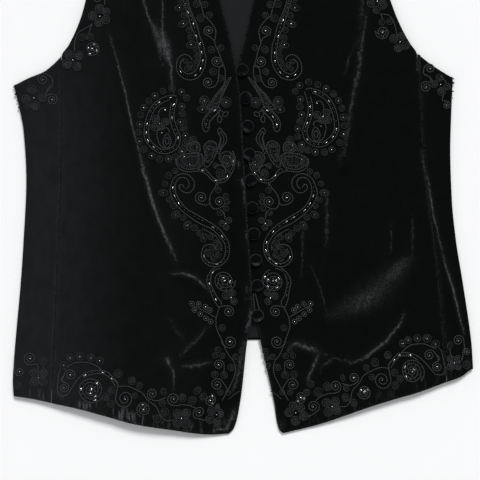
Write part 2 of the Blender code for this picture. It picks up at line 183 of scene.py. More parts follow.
cloth = {"front": 2.0, "back": 1.6, "lining": 1.0, "gap": 0.3, "edgeRound": 0.6}
underLayer = cloth["front"] / 2
liningBottom = cloth["back"] + cloth["gap"]
frontRest = liningBottom + cloth["lining"] + cloth["gap"] + cloth["front"] / 2

shoulder = {"tipY": 285.0, "neckY": 315.6, "backNeckDrop": 20.0}

# Edges that run up the garment are rows of (y, x), and edges across it rows of (x, y)
rightCut = {
    "name": "right",
    "out": -1,
    "fold": [
        (-278, -249.2), (-262, -250.2), (-233.3, -248.6), (-211.5, -246.8), (-151.5, -241.4),
        (-107.9, -238.5), (-42.5, -235.5), (12, -238.6), (33.8, -242.6), (61, -249.2),
    ],
    "seam": [
        (-285, -208), (-151.5, -202.5), (-20.7, -197.6), (91.6, -197.1), (103.7, -189.5),
        (120.3, -181.3), (138.7, -174.5), (170, -167.4), (202.7, -163.3), (285, -157.8),
    ],
    "centre": [
        (-318.6, -15), (-312.5, -9.5), (-282, -2.5), (-219, 4.7), (-184, 10.4), (-93, 5.5),
        (-20.7, 1.2), (38.6, -2.2), (81, -7.4), (153.7, -24.4), (219.1, -42), (315.6, -77.7),
    ],
    "hem": [
        (-249.2, -278), (-230, -280.6), (-208, -285), (-178, -291.2), (-146, -299.8), (-119.7, -307),
        (-82.9, -313.2), (-31.4, -319.6), (-15, -318.6),
    ],
    "sideTop": [(-249.2, 61), (-234.8, 68), (-216.3, 75.3), (-206.3, 82.8), (-197.1, 91.6)],
    "backSideTop": [(-249.2, 61), (-216.3, 72.5), (-197.1, 88)],
    "joinY": 91.6,
}
leftCut = {
    "name": "left",
    "out": 1,
    "fold": [
        (-248.6, 250.6), (-222.4, 249), (-200.6, 246.4), (-177.7, 243), (-151.5, 238.9),
        (-107.9, 231.9), (-64.3, 227.5), (-9.8, 225.8), (33.8, 227), (69.4, 228.6),
    ],
    "seam": [
        (-262.2, 221.5), (-209.3, 218.2), (-137.3, 211.7), (-64.3, 202.5), (-20.7, 197.4),
        (94.8, 189.2), (105.3, 182.1), (123.6, 172.1), (143.7, 163.7), (170, 155.6), (202.7, 151.2),
        (285, 146.3),
    ],
    "centre": [
        (-318.2, 44), (-314.8, 39.9), (-282.3, 33.6), (-216.9, 18.9), (-197.3, 14.4), (-173.3, 7.4),
        (-129.7, 2.9), (-51, -1.4), (20.7, -5.4), (50.1, -7.6), (75.2, -5.9), (95.2, -2.3),
        (121.4, 4.2), (153.7, 10.9), (219.1, 28.6), (315.6, 65.5),
    ],
    "hem": [
        (250.6, -248.6), (238.9, -256.4), (221.5, -262.2), (189.6, -273.7), (162.6, -281.5),
        (135.1, -290.2), (80.5, -309.2), (44, -318.2),
    ],
    "sideTop": [(189.2, 94.8), (203.4, 83.6), (216, 76), (228.6, 69.4)],
    "backSideTop": [(189.2, 91), (204, 80.8), (228.6, 69.4)],
    "joinY": 94.8,
}
backHem = [
    (-202.5, -270.3), (-133.9, -247.4), (-57.6, -224.5), (2, -216.6), (24, -216.6), (84.1, -222.4),
    (160.4, -234.4), (219.3, -246.3),
]

# How the fronts lie: height of the wall's middle along the hem, mounds, and the main folds
hemHeights = [
    (-250, 4.3), (-208, 6), (-155, 9), (-100, 9.2), (-60, 6.2), (-28, 2.4), (-10, 1.6), (20, 1.6),
    (45, 1.6), (85, 3.2), (135, 6), (190, 6.6), (222, 5.4), (250, 4.3),
]
mounds = [  # x, y, wide, long, high
    (-95, 55, 58, 85, 2.8), (-120, -120, 55, 80, 2.2), (105, 60, 55, 85, 2.8), (120, -120, 52, 80, 2.4),
    (-110, 215, 30, 60, 1.2), (98, 215, 30, 60, 1.2),
]
mainFolds = [  # high, half width, crest
    (2.6, 11, [(-146, 117), (-127, 50), (-113, -10), (-97, -70), (-71, -132)]),
    (2.8, 13, [(-109, 155), (-92, 118), (-79, 68), (-73, 40)]),
    (1.8, 11, [(-74, -145), (-58, -150), (-40, -163)]),
    (1.8, 11, [(-84, -240), (-58, -226), (-36, -200)]),
    (2.8, 13, [(132, 150), (126, 82), (117, 30), (104, -26)]),
    (3, 20, [(100, -196), (138, -163), (176, -134)]),
    (2.4, 12, [(175, -193), (158, -220), (123, -240)]),
    (2, 11, [(52, -225), (80, -230), (70, -262)]),
    (2.2, 11, [(205, -62), (213, -104), (224, -158), (237, -206)]),
]
creases = [  # high, half width, brightness of the painted sheen along it, crest
    (0.9, 2.9, 0.8, [(-146, 117), (-136, 86), (-127, 50), (-120, 17), (-113, -10), (-104, -46)]),
    (1.2, 5, 1, [(-113, -10), (-104, -46), (-97, -70), (-87, -97), (-77, -119), (-71, -133)]),
    (0.8, 3, 0.75, [(-109, 165), (-107, 149), (-104, 137), (-100, 129), (-95, 122)]),
    (1.1, 3.4, 0.8, [(-82, 95), (-79, 86), (-77, 79), (-78, 72), (-76, 58), (-74, 46)]),
    (0.5, 13, 0.3, [(-97, 124), (-88, 104), (-80, 76)]),
    (0.6, 2.8, 0.65, [(-88, 165), (-87, 140), (-87, 118), (-85, 106)]),
    (0.7, 4, 0.7, [(-80, -144), (-64, -144.5), (-53, -148), (-43, -156), (-36, -165)]),
    (0.7, 4.5, 0.38, [(-72, -238), (-62, -227), (-50, -216), (-36, -200)]),
    (0.4, 6, 0.9, [(-83, -234), (-81, -240), (-79, -246)]),
    (0.5, 5.5, 0.6, [(-68, -246), (-52, -244), (-33, -241)]),
    (0.5, 3.2, 0.5, [(-80, -236), (-75, -255), (-75, -272)]),
    (0.9, 5.5, 0.5, [(134, 165), (129, 145), (126, 82), (119, 47), (114, 12), (109, -10), (104, -27)]),
    (0.6, 3, 0.5, [(136, 148), (130, 110), (124, 66)]),
    (0.5, 2.8, 0.4, [(134, 121), (119, 99), (109, 70)]),
    (0.5, 4.5, 0.4, [(91, -52), (91, -88), (91, -116)]),
    (0.4, 3, 0.35, [(184, -80), (184, -106), (184, -128)]),
    (0.4, 3, 0.3, [(161, -90), (161, -107), (161, -124)]),
    (0.4, 3, 0.3, [(64, -92), (65, -124), (63, -150)]),
    (0.9, 12, 0.1, [(88, -195), (120, -174), (152, -156), (192, -120)]),
    (0.7, 5, 0.1, [(112, -179), (136, -165), (160, -151)]),
    (0.9, 7.5, 0.75, [(49, -221), (62, -222), (75, -226), (83, -231)]),
    (0.5, 4, 0.3, [(82, -230), (98, -236), (120, -241)]),
    (0.9, 4.5, 0.75, [(112, -242), (121, -241), (129, -238), (154, -219), (171, -198), (176, -186)]),
    (0.6, 5, 0.75, [(82, -229), (79, -240), (74, -250), (69, -261)]),
    (0.5, 4, 0.55, [(76, -244), (86, -244), (99, -238)]),
    (0.8, 3.2, 0.7, [(194, -10), (197, -30), (202, -48), (207, -82), (215, -116), (219, -133)]),
    (0.9, 3.4, 0.9, [(215, -116), (219, -133), (228, -161), (236, -193), (241, -212)]),
    (0.5, 5, 0.12, [(-83, -190), (-72, -205), (-60, -222)]),
    (0.5, 3, 0.35, [(-60, 5), (-62, 22), (-66, 36)]),
    (0.5, 6, 0.35, [(-130, 260), (-118, 225), (-110, 190)]),
    (0.5, 6, 0.35, [(116, 265), (106, 225), (101, 190)]),
    (0.2, 2.4, 0.7, [(-5, -21), (-4.5, -31)]),
    (0.2, 4.5, 0.8, [(-2, -41), (1.5, -50)]),
    (0.2, 2.2, 0.7, [(1.5, -52), (1.2, -70)]),
    (0.2, 2.6, 0.6, [(4.1, -97), (4.1, -108)]),
    (0.2, 2.6, 0.6, [(4.6, -156), (4.6, -167)]),
    (0.1, 1.6, 0.5, [(0, -161.5), (9, -161.5)]),
    (0.1, 1.6, 0.45, [(1, -172), (10, -172)]),
    (0.4, 5, 0.8, [(9, -182), (7.5, -195), (3.5, -208)]),
    (0.3, 5, 0.65, [(0, -216), (-1, -232), (-5, -252), (-11, -275)]),
    (0.3, 6, 0.8, [(-34, -316), (-18, -313), (-12, -302), (-9, -290)]),
    (0.2, 2, 0.4, [(73, -134), (84, -160), (92, -189)]),
]
sheens = [  # half width, brightness, middle: wide patches of painted sheen where the pile lies the other way
    (3.8, 1.15, [(-90, 123), (-87, 114), (-84.5, 104), (-82, 95), (-78, 80)]),
    (2.4, 0.9, [(-102, 131), (-96, 122), (-93, 113), (-91, 102), (-90, 92)]),
    (13, 0.2, [(88, -194), (116, -181), (142, -168), (164, -146), (186, -124)]),
    (6.5, 0.42, [(114, -187), (138, -171), (156, -158)]),
    (5, 0.28, [(152, -154), (168, -138), (182, -126)]),
]
hemLift = {"over": 50.0, "belowBackHem": 8.0}  # how far up the cloth comes down to its hem
lap = {"rise": 2.5, "flat": 8, "slope": 14, "bottom": (-215, -190), "top": (75, 110)}
gathers = {  # where the hem's turning pulls the cloth into short ripples: x and strength
    "places": [
        (-193, 0.6), (-178, 0.8), (-156, 1), (-146, 0.9), (-134, 1), (-126, 1), (-116, 0.9),
        (-108, 0.8), (-93, 0.35), (-72, 0.3), (62, 0.2), (98, 0.3), (131, 0.25), (160, 0.3),
        (186, 0.35), (207, 0.3),
    ],
    "half": 2.4,
    "high": 0.6,
    "reach": 13.0,
    "lean": 0.12,  # how far a ripple slants for each millimetre above the hem
    # painted sheen along the ripples' crests: x and strength
    "shine": [
        (-250, 0.1), (-205, 0.5), (-160, 1.0), (-105, 1.0), (-85, 0.45), (0, 0.35), (60, 0.15),
        (250, 0.15),
    ],
}
drift = {"high": 0.35, "waves": 7, "lengths": (28, 75), "seed": 5}


def curveThrough(rows, at):  # smooth, and never past the rows' own values
    places, values = np.array(sorted(rows), float).T
    at = np.clip(at, places[0], places[-1])
    steps = np.diff(places)
    slopes = np.diff(values) / steps
    tangents = np.concatenate([slopes[:1], np.zeros(len(slopes) - 1), slopes[-1:]])
    for i in range(1, len(slopes)):
        before, after = slopes[i - 1], slopes[i]
        if before * after > 0:
            first = 2 * steps[i] + steps[i - 1]
            second = steps[i] + 2 * steps[i - 1]
            tangents[i] = (first + second) / (first / before + second / after)
    i = np.clip(np.searchsorted(places, at, side="right") - 1, 0, len(steps) - 1)
    t = (at - places[i]) / steps[i]
    value = values[i] * (1 + 2 * t) * (1 - t) ** 2 + values[i + 1] * t * t * (3 - 2 * t)
    bend = tangents[i] * t * (1 - t) ** 2 - tangents[i + 1] * t * t * (1 - t)
    return value + bend * steps[i]


def bell(value, middle, wide):  # 1 at the middle, falling off on both sides
    return np.exp(-(((value - middle) / wide) ** 2))


def unit(vectors):
    return vectors / np.linalg.norm(vectors, axis=-1, keepdims=True)


def softStep(t):
    t = np.clip(t, 0.0, 1.0)
    return t * t * (3 - 2 * t)


def between(a, b, t):
    return a + (b - a) * t


def alongPath(path, x, y):  # signed distance from a path, and how far along it, from 0 to 1
    path = np.array(path, float)
    lengths = np.linalg.norm(np.diff(path, axis=0), axis=1)
    nearest = np.full(np.shape(x), np.inf)
    along = np.zeros(np.shape(x))
    done = 0.0
    for start, end, length in zip(path[:-1], path[1:], lengths):
        way = (end - start) / length
        dx, dy = x - start[0], y - start[1]
        t = np.clip(dx * way[0] + dy * way[1], 0, length)
        off = np.hypot(dx - way[0] * t, dy - way[1] * t)
        closer = off < np.abs(nearest)
        nearest = np.where(closer, np.copysign(off, way[0] * dy - way[1] * dx), nearest)
        along = np.where(closer, (done + t) / lengths.sum(), along)
        done += length
    return nearest, along


def fadedEnds(along, power, margin=0.0):  # 1 halfway along a path, less towards its ends
    return np.sin(math.pi * np.clip(along, margin, 1 - margin)).clip(0) ** power


def foldRise(high, wide, path, x, y):
    off, along = alongPath(path, x, y)
    return high * fadedEnds(along, 0.7, 0.04) * bell(off, 0, 0.6 * wide)


def hemY(x):
    return np.where(x < 0, curveThrough(rightCut["hem"], x), curveThrough(leftCut["hem"], x))


def gather(x):
    return sum(strong * bell(x, at, gathers["half"]) for at, strong in gathers["places"])


def hemPuckers(x, y):
    above = np.maximum(y - hemY(x), 0.0)
    return gathers["high"] * gather(x + above * gathers["lean"]) * np.exp(-above / gathers["reach"])


def gentleDrift(x, y):  # low, wide unevenness all over
    draw = np.random.default_rng(drift["seed"])
    total = np.zeros(np.shape(x))
    for _ in range(drift["waves"]):
        angle = draw.uniform(0, math.pi)
        length = draw.uniform(*drift["lengths"])
        phase = draw.uniform(0, 6.3)
        total = total + np.sin((x * math.cos(angle) + y * math.sin(angle)) / length * 6.28 + phase)
    return drift["high"] * (1 + total / math.sqrt(drift["waves"])).clip(0)


def mainHeight(x, y):  # middle of the upper wall, as the solids have it
    hem = hemY(x)
    atHem = curveThrough(hemHeights, x)
    notch = curveThrough(backHem, x) - hemLift["belowBackHem"]
    start = np.where(atHem < frontRest, notch, hem + hemLift["over"])
    height = between(frontRest, atHem, softStep((start - y) / (start - hem)))
    for px, py, wide, long, high in mounds:
        height = height + high * bell(x, px, wide) * bell(y, py, long)
    for high, wide, path in mainFolds:
        height = height + foldRise(high, wide, path, x, y)
    return height


def lieHeight(x, y):
    height = mainHeight(x, y) + gentleDrift(x, y) + hemPuckers(x, y)
    for high, wide, _, path in creases:
        height = height + foldRise(high, wide, path, x, y)
    return height


def lapRise(x, y):  # the right front climbs over the left one
    fromEdge = curveThrough(rightCut["centre"], y) - x
    across = softStep((lap["flat"] + lap["slope"] - fromEdge) / lap["slope"])
    up = softStep((y - lap["bottom"][0]) / (lap["bottom"][1] - lap["bottom"][0]))
    down = softStep((lap["top"][1] - y) / (lap["top"][1] - lap["top"][0]))
    return lap["rise"] * across * up * down


def frontMiddle(cut, x, y):
    height = lieHeight(x, y)
    return height + lapRise(x, y) if cut is rightCut else height


pile = {  # painted sheen on the velvet: along creases, in patches, over the left side, above the hem and along edges; a crease's widths are in its own half widths
    "glow": 0.16,
    "glowWide": 0.8,
    "markWide": 2.6,
    "markFade": 1.2,
    "hemShineUp": 7.0,  # middle and half width of the painted sheen above the hem's edge
    "hemShineWide": 7.0,
    "edgeSheenWide": 1.1,
    "sheenSide": {"x": -105.0, "over": 120.0, "y": 150.0, "down": 260.0, "least": 0.35},
    "sheenFront": {"x": -20.0, "over": 60.0, "share": 0.14},
}


def paintedPileSheen(x, y):  # painted sheen, soft, along the creases and in wide patches
    total = np.zeros(np.shape(x))
    for _, wide, bright, path in creases:
        off, along = alongPath(path, x, y)
        glow = pile["glow"] * bright * fadedEnds(along, 0.5, 0.03)
        total = total + glow * bell(off, 0, pile["glowWide"] * wide)
    for wide, bright, path in sheens:
        off, along = alongPath(path, x, y)
        ends = fadedEnds(along, 1.0)
        total = total + bright * ends ** 0.7 * bell(off, 0, wide * (0.4 + 0.6 * ends))
    return total


def hemShine(x, y):  # how strongly painted sheen lies along the crests of the hem's ripples
    above = np.maximum(y - hemY(x), 0.0)
    return curveThrough(gathers["shine"], x) * bell(above, pile["hemShineUp"], pile["hemShineWide"])


def nearestCrease(x, y):  # how far to one side of the nearest crease, in its half widths, and how bright its painted highlight is
    side, lit = np.full(np.shape(x), 3.0), np.zeros(np.shape(x))
    for _, wide, bright, path in creases:
        off, along = alongPath(path, x, y)
        near = softStep((pile["markWide"] - np.abs(off / wide)) / pile["markFade"])
        here = bright * fadedEnds(along, 0.5) * near
        side = np.where(here > lit, off / wide, side)
        lit = np.maximum(lit, here)
    return side, lit


def paintedSideSheen(x, y):  # painted sheen, a broad lighter tone towards the left, strongest at the left side: 0 deep black, 1 greyest
    at, front = pile["sheenSide"], pile["sheenFront"]
    side = softStep((at["x"] - x) / at["over"]) * softStep((at["y"] - y) / at["down"] + at["least"])
    return side + front["share"] * softStep((front["x"] - x) / front["over"]) * (1 - side)


# Cloth meshes

def makeMesh(name, points, faces, material, attributes=None):
    mesh = bpy.data.meshes.new(name)
    points = np.asarray(points, float) * mm
    mesh.vertices.add(len(points))
    mesh.vertices.foreach_set("co", points.ravel())
    sizes = np.concatenate([np.full(len(f), f.shape[1]) for f in faces])
    corners = np.concatenate([f.ravel() for f in faces]).astype(np.int32)
    mesh.loops.add(len(corners))
    mesh.loops.foreach_set("vertex_index", corners)
    mesh.polygons.add(len(sizes))
    mesh.polygons.foreach_set("loop_start", np.concatenate([[0], np.cumsum(sizes)[:-1]]).astype(np.int32))
    mesh.update(calc_edges=True)
    mesh.validate()
    mesh.shade_smooth()
    for key, values in (attributes or {}).items():
        layer = mesh.attributes.new(key, "FLOAT", "POINT")
        layer.data.foreach_set("value", np.asarray(values, np.float32))
    mesh.materials.append(material)
    piece = bpy.data.objects.new(name, mesh)
    bpy.context.scene.collection.objects.link(piece)
    return piece


def clothShell(name, middle, thickness, material, marked=False):  # the piece, its area and its flat size
    rows, columns = middle.shape[:2]
    normals = unit(np.cross(np.gradient(middle, axis=1), np.gradient(middle, axis=0)))
    stepsUp, stepsAcross = (np.linalg.norm(np.diff(middle, axis=k), axis=2) for k in (0, 1))
    fromFoot = np.concatenate([np.zeros((1, columns)), np.cumsum(stepsUp, axis=0)])
    fromLeft = np.concatenate([np.zeros((rows, 1)), np.cumsum(stepsAcross, axis=1)], axis=1)
    edge = np.minimum.reduce([fromFoot, fromFoot[-1] - fromFoot, fromLeft, fromLeft[:, -1:] - fromLeft])
    rounding = 1 - (1 - np.clip(edge / (cloth["edgeRound"] * thickness), 0, 1)) ** 2
    half = (thickness / 2 * np.sqrt(rounding))[..., None]
    inside = slice(1, -1), slice(1, -1)
    points = np.concatenate([(middle + normals * half).reshape(-1, 3),
                             (middle - normals * half)[inside].reshape(-1, 3)])
    upper = np.arange(rows * columns).reshape(rows, columns)
    lower = upper.copy()
    lower[inside] = rows * columns + np.arange((rows - 2) * (columns - 2)).reshape(rows - 2, columns - 2)
    faces = []
    for grid, turn in ((upper, 1), (lower, -1)):
        quads = np.stack([grid[:-1, :-1], grid[:-1, 1:], grid[1:, 1:], grid[1:, :-1]], axis=-1)
        faces.append(quads.reshape(-1, 4)[:, ::turn])
    attributes = {}
    if marked:
        x, y = points[:, 0], points[:, 1]
        # painted sheen and highlights, as values for the shader: along the creases and in patches, over the
        # left side, on the crease lines, on the hem's ripples and along every edge
        crease, lit = nearestCrease(x, y)
        fromEdge = np.concatenate([edge.ravel(), edge[inside].ravel()])
        attributes = {"pile": paintedPileSheen(x, y), "greyAndSheen": paintedSideSheen(x, y), "crease": crease, "lit": lit,
                      "hem": hemShine(x, y), "edge": np.exp(-fromEdge / pile["edgeSheenWide"])}
    cells = np.cross(np.diff(middle, axis=0)[:, :-1], np.diff(middle, axis=1)[:-1])
    area = float(np.linalg.norm(cells, axis=2).sum())
    flat = (float(stepsAcross.sum(axis=1).max()), float(stepsUp.sum(axis=0).max()))
    return makeMesh(name, points, faces, material, attributes), area, flat


def edgeSteps(count, length, rim=1.2):  # shares of a length, close together at both ends
    near = np.array([0.0, 0.05, 0.18, 0.45, 1.0]) * rim / length
    return np.concatenate([near, np.linspace(near[-1], 1 - near[-1], count)[1:-1], 1 - near[::-1]])


def shoulderWay(cut):  # in plan, square to the shoulder seam, off the garment
    run = cut["centre"][-1][1] - cut["seam"][-1][1]
    rise = shoulder["neckY"] - shoulder["tipY"]
    return unit(np.array([-rise * np.sign(run), abs(run)]))


frontLook = {"columns": 94, "rows": 264, "wide": 190.0, "long": 600.0, "rollTurns": 9}


def frontGrid(cut):
    up = edgeSteps(frontLook["rows"], frontLook["long"])
    across = edgeSteps(frontLook["columns"], frontLook["wide"])
    v, u = np.meshgrid(up, across, indexing="ij")
    yOut = between(cut["seam"][0][0], shoulder["tipY"], v)
    yIn = between(cut["centre"][0][0], shoulder["neckY"], v)
    seamX = curveThrough(cut["seam"], yOut) - cut["out"] * cloth["gap"] / 2
    x = between(seamX, curveThrough(cut["centre"], yIn), u)
    y = between(yOut, yIn, u)
    bow = curveThrough(cut["hem"], x[0]) - y[0]
    y = y + bow[None, :] * (1 - v) ** 4
    middle = np.stack([x, y, frontMiddle(cut, x, y)], axis=2)
    last, radius = middle[-1], middle[-1, :, 2] - underLayer
    rolled = []
    for turn in np.radians(np.linspace(0, 90, frontLook["rollTurns"] + 1)[1:]):  # over the shoulder
        flat = last[:, :2] + shoulderWay(cut) * (radius * math.sin(turn))[:, None]
        rolled.append(np.column_stack([flat, underLayer + radius * math.cos(turn)]))
    return np.concatenate([middle, np.array(rolled)])


def makeFront(cut, material):
    return clothShell(f"{cut['name']}FrontCloth", frontGrid(cut), cloth["front"], material, marked=True)


sideLook = {"over": 16, "turns": 13, "rows": 170, "wide": 40.0, "long": 340.0}


def roundFold(cut, y):  # height of the cloth before it turns, and the turn's radius and centre
    foldX = curveThrough(cut["fold"], y)
    overZ = mainHeight(foldX - cut["out"] * (frontRest + cloth["front"]) / 2, y)
    radius = (overZ - underLayer) / 2
    return overZ, radius, foldX - cut["out"] * (radius + cloth["front"] / 2)


def sideGrid(cut):
    over = edgeSteps(sideLook["over"], sideLook["wide"])[:-4]
    turns = np.linspace(0, math.pi, sideLook["turns"])[1:-1]
    stations = [("over", f, 0.0) for f in over] + [("fold", 1.0, turn) for turn in turns]
    stations += [("under", f, math.pi) for f in over[::-1]]
    rows = edgeSteps(sideLook["rows"], sideLook["long"])
    columns = []
    for place, f, turn in stations:
        topTable = cut["backSideTop"] if place == "under" else cut["sideTop"]
        joinX = curveThrough(cut["seam"], cut["joinY"])
        topY = curveThrough(topTable, between(joinX, cut["fold"][-1][1], f))
        footY = curveThrough(cut["hem"], between(cut["seam"][0][1], cut["fold"][0][1], f))
        if place == "under":
            footY = between(curveThrough(backHem, cut["seam"][0][1]), cut["fold"][0][0], f)
        y = between(footY, topY, rows)
        overZ, radius, centreX = roundFold(cut, y)
        seamX = curveThrough(cut["seam"], y) + cut["out"] * cloth["gap"] / 2
        x = between(seamX, centreX, f) + cut["out"] * radius * math.sin(turn)
        if place == "over":
            z = between(lieHeight(x, y), overZ, f ** 3)
        else:
            z = underLayer + radius * (1 + math.cos(turn))
        columns.append(np.stack([x, y, z], axis=1))
    return np.stack(columns, axis=1)


def makeSide(cut, material):
    grid = sideGrid(cut)
    if cut["out"] < 0:
        grid = grid[:, ::-1]
    return clothShell(f"{cut['name']}SideCloth", grid, cloth["front"], material, marked=True)


backInset = {"side": cloth["gap"] / 2, "hem": 0.0, "armhole": 1.6, "shoulder": -1.8, "neck": 0.0}
liningInset = {"side": 4.0, "hem": 2.2, "armhole": 3.6, "shoulder": 1.0, "neck": 1.6}
backLook = {"rows": 90, "columns": 70, "long": 560.0, "seam": 80.0, "belowJoin": 4.0, "blend": 0.03}


def backSide(cut, inset, y):
    by = np.where(y <= cut["joinY"] - backLook["belowJoin"], inset["side"], inset["armhole"])
    return curveThrough(cut["seam"], y) - cut["out"] * by


def backGrid(inset, height):
    rows, columns = edgeSteps(backLook["rows"], backLook["long"]), backLook["columns"]
    tips = {}
    for cut in (rightCut, leftCut):
        off = -shoulderWay(cut) * inset["shoulder"]
        tip = np.array([backSide(cut, inset, shoulder["tipY"]), shoulder["tipY"]]) + off
        tips[cut["name"]] = (tip, np.array([cut["centre"][-1][1], shoulder["neckY"]]) + off)
    (rightTip, rightNeck), (leftTip, leftNeck) = tips["right"], tips["left"]
    arc = np.linspace(0, math.pi, columns // 2)
    middle, reach = (leftNeck + rightNeck) / 2, (leftNeck[0] - rightNeck[0]) / 2
    scoop = np.stack([middle[0] - reach * np.cos(arc),
                      middle[1] - (shoulder["backNeckDrop"] + inset["neck"]) * np.sin(arc)], axis=1)
    share = edgeSteps(columns // 4, backLook["seam"])[:, None]
    top = np.concatenate([between(rightTip, rightNeck, share), scoop[1:-1],
                          between(leftNeck, leftTip, share)])
    u = np.maximum.accumulate((top[:, 0] - top[0, 0]) / (top[-1, 0] - top[0, 0]))
    rightFoot, leftFoot = backSide(rightCut, inset, backHem[0][1]), backSide(leftCut, inset, backHem[-1][1])
    hemX = between(rightFoot, leftFoot, u)
    foot = np.stack([hemX, curveThrough(backHem, hemX) + inset["hem"]], axis=1)
    grid = []
    for v in rows:
        y = between(foot[:, 1], top[:, 1], v)
        rightX, leftX = backSide(rightCut, inset, y[0]), backSide(leftCut, inset, y[-1])
        x = between(between(rightX, leftX, u), top[:, 0], softStep((v - 1) / backLook["blend"] + 1))
        grid.append(np.stack([x, y, np.full(len(x), height)], axis=1))
    return np.array(grid)


# Materials

# Noises are marks to the metre, detail, roughness and how far they are stretched along each axis
velvetLook = {
    "deep": (0.0022, 0.0025, 0.0024, 1.0),
    "greyAndSheen": (0.0125, 0.0130, 0.0139, 1.0),
    "paintedSheen": (0.062, 0.064, 0.066, 1.0),
    "mottle": (70.0, 4.0, 0.62, (1.6, 1.0, 1.0)),
    "grain": (1100.0, 2.0, 0.6),
    "patches": (160.0, 4.0, 0.7, (1.4, 0.8, 1.0)),
    "speckle": (620.0, 3.0, 0.75),
    "wander": (130.0, 5.0, 0.72),  # how a crease's broken line of painted highlight strays
    "breaks": (330.0, 4.0, 0.75),
    "ripple": (240.0, 3.0, 0.6, (1.0, 0.17, 0.25)),
    "fixed": {
        "Sheen Weight": 0.05,
        "Sheen Roughness": 0.35,
        "Sheen Tint": (0.8, 0.85, 0.9, 1.0),
        "Specular IOR Level": 0.02,
    },
}
liningLook = {
    "dark": (0.0085, 0.0096, 0.0108, 1.0),
    "light": (0.0100, 0.0112, 0.0126, 1.0),
    "weave": (1400.0, 1.0, 0.5, (1.0, 0.35, 1.0)),
    "cloudy": (30.0, 2.0, 0.5),
    "fixed": {"Sheen Weight": 0.03, "Specular IOR Level": 0.08},
}
cordLook = {
    "shadedGroove": (0.0035, 0.0037, 0.004, 1.0),
    "ridge": (0.068, 0.071, 0.074, 1.0),
    "fibre": (900.0, 2.0, 0.6),
    "turns": 3.0,
    "fixed": {"Sheen Weight": 0.03, "Specular IOR Level": 0.12},
}
beadLook = {
    "dull": (0.012, 0.013, 0.014, 1.0),
    "bright": (0.95, 0.95, 0.96, 1.0),
    "fixed": {"Metallic": 1.0, "Specular IOR Level": 0.5},
}


def velvetMaterial(name, look=velvetLook, marked=True):
    paint = Paint(name, look["fixed"])
    mottle = paint.noise(*look["mottle"])
    grain = paint.noise(*look["grain"])
    colour = paint.blend(paint.fit(mottle, 0.3, 0.75) * 0.09, look["deep"], look["greyAndSheen"])
    if marked:
        # painted sheen: the left side made greyer, broken up by the mottle
        greyAndSheen = paint.attribute("greyAndSheen") * paint.fit(mottle, -0.6, 0.6)
        colour = paint.blend(greyAndSheen, colour, look["greyAndSheen"])
        # painted sheen and highlights: soft along creases and patches, broken lines on the creases, along
        # the edges and on the hem's ripples, all mixed towards a pale colour
        patchy = paint.fit(paint.noise(*look["patches"]), 0.3, 0.66)
        speckle = paint.fit(paint.noise(*look["speckle"]), 0.4, 0.62)
        paintedSheen = paint.attribute("pile") * (0.1 + speckle * (0.3 + 1.1 * patchy))
        bright = paint.attribute("lit")
        stray = (paint.noise(*look["wander"]) - 0.5) * (4.0 - 3.2 * bright)
        near = (paint.attribute("crease") + stray).maths("ABSOLUTE")
        broken = 0.4 * bright ** 2 + 1.1 * paint.fit(paint.noise(*look["breaks"]), 0.42, 0.6)
        sharp = paint.fit(near, 0.4, 0.06) * bright * broken
        ripple = paint.fit(paint.noise(*look["ripple"]), 0.53, 0.66) * (0.45 + 0.95 * speckle)
        edge = paint.attribute("edge") * broken * 0.3
        lit = paint.clamp(paintedSheen + sharp + edge + paint.attribute("hem") * ripple)
        colour = paint.blend(lit, colour, look["paintedSheen"])
    bump = paint.bump(grain, 0.35, 0.25)
    return paint.finish(Base_Color=colour, Roughness=0.72 + 0.2 * grain, Normal=bump)


def liningMaterial(look=liningLook):
    paint = Paint("liningTwill", look["fixed"])
    weave = paint.noise(*look["weave"])
    colour = paint.blend(paint.fit(paint.noise(*look["cloudy"]), 0.2, 0.8), look["dark"], look["light"])
    return paint.finish(Base_Color=colour, Roughness=0.55 + 0.2 * weave, Normal=paint.bump(weave, 0.3, 0.15))


def cordMaterial(look=cordLook):
    paint = Paint("couchedCord", look["fixed"])
    fibre = paint.noise(*look["fibre"])
    # painted shade in the twist's grooves and painted highlight on its ridges, with fibre noise and each
    # cord's paleness
    ridge = (paint.attribute("twist") * look["turns"]).maths("SINE")
    light = paint.fit(ridge * 0.4 + fibre, 0.2, 0.9) * paint.attribute("pale")
    colour = paint.blend(light, look["shadedGroove"], look["ridge"])
    return paint.finish(Base_Color=colour, Roughness=0.42 + 0.2 * fibre, Normal=paint.bump(ridge, 0.5, 0.18))


def beadMaterial(look=beadLook):
    paint = Paint("silverBugle", look["fixed"])
    # painted glint: the beads are alike, and the glint value makes some bright metal, as those that catch
    # the light
    glint = paint.attribute("glint")
    return paint.finish(Base_Color=paint.blend(glint ** 1.6, look["dull"], look["bright"]),
                        Roughness=0.3 - 0.14 * glint)


def floorMaterial():
    paint = Paint("paleFloor", {"Specular IOR Level": 0.1})
    paper = paint.noise(40.0, 2.0, 0.5)
    tone = view["floorTone"]
    darker = tuple(c * 0.995 for c in tone[:3]) + (1.0,)
    return paint.finish(Base_Color=paint.blend(paper, darker, tone), Roughness=0.85 + 0.1 * paper)


def makeFloor():
    half, height = view["floorSize"] / 2, view["floorHeight"]
    points = [(x, y, height) for x, y in ((-half, -half), (half, -half), (half, half), (-half, half))]
    floor = makeMesh("paleFloor", points, [np.array([[0, 1, 2, 3]])], floorMaterial())


# Embroidery: couched cord and small beads, worked as nearly the same design on both halves

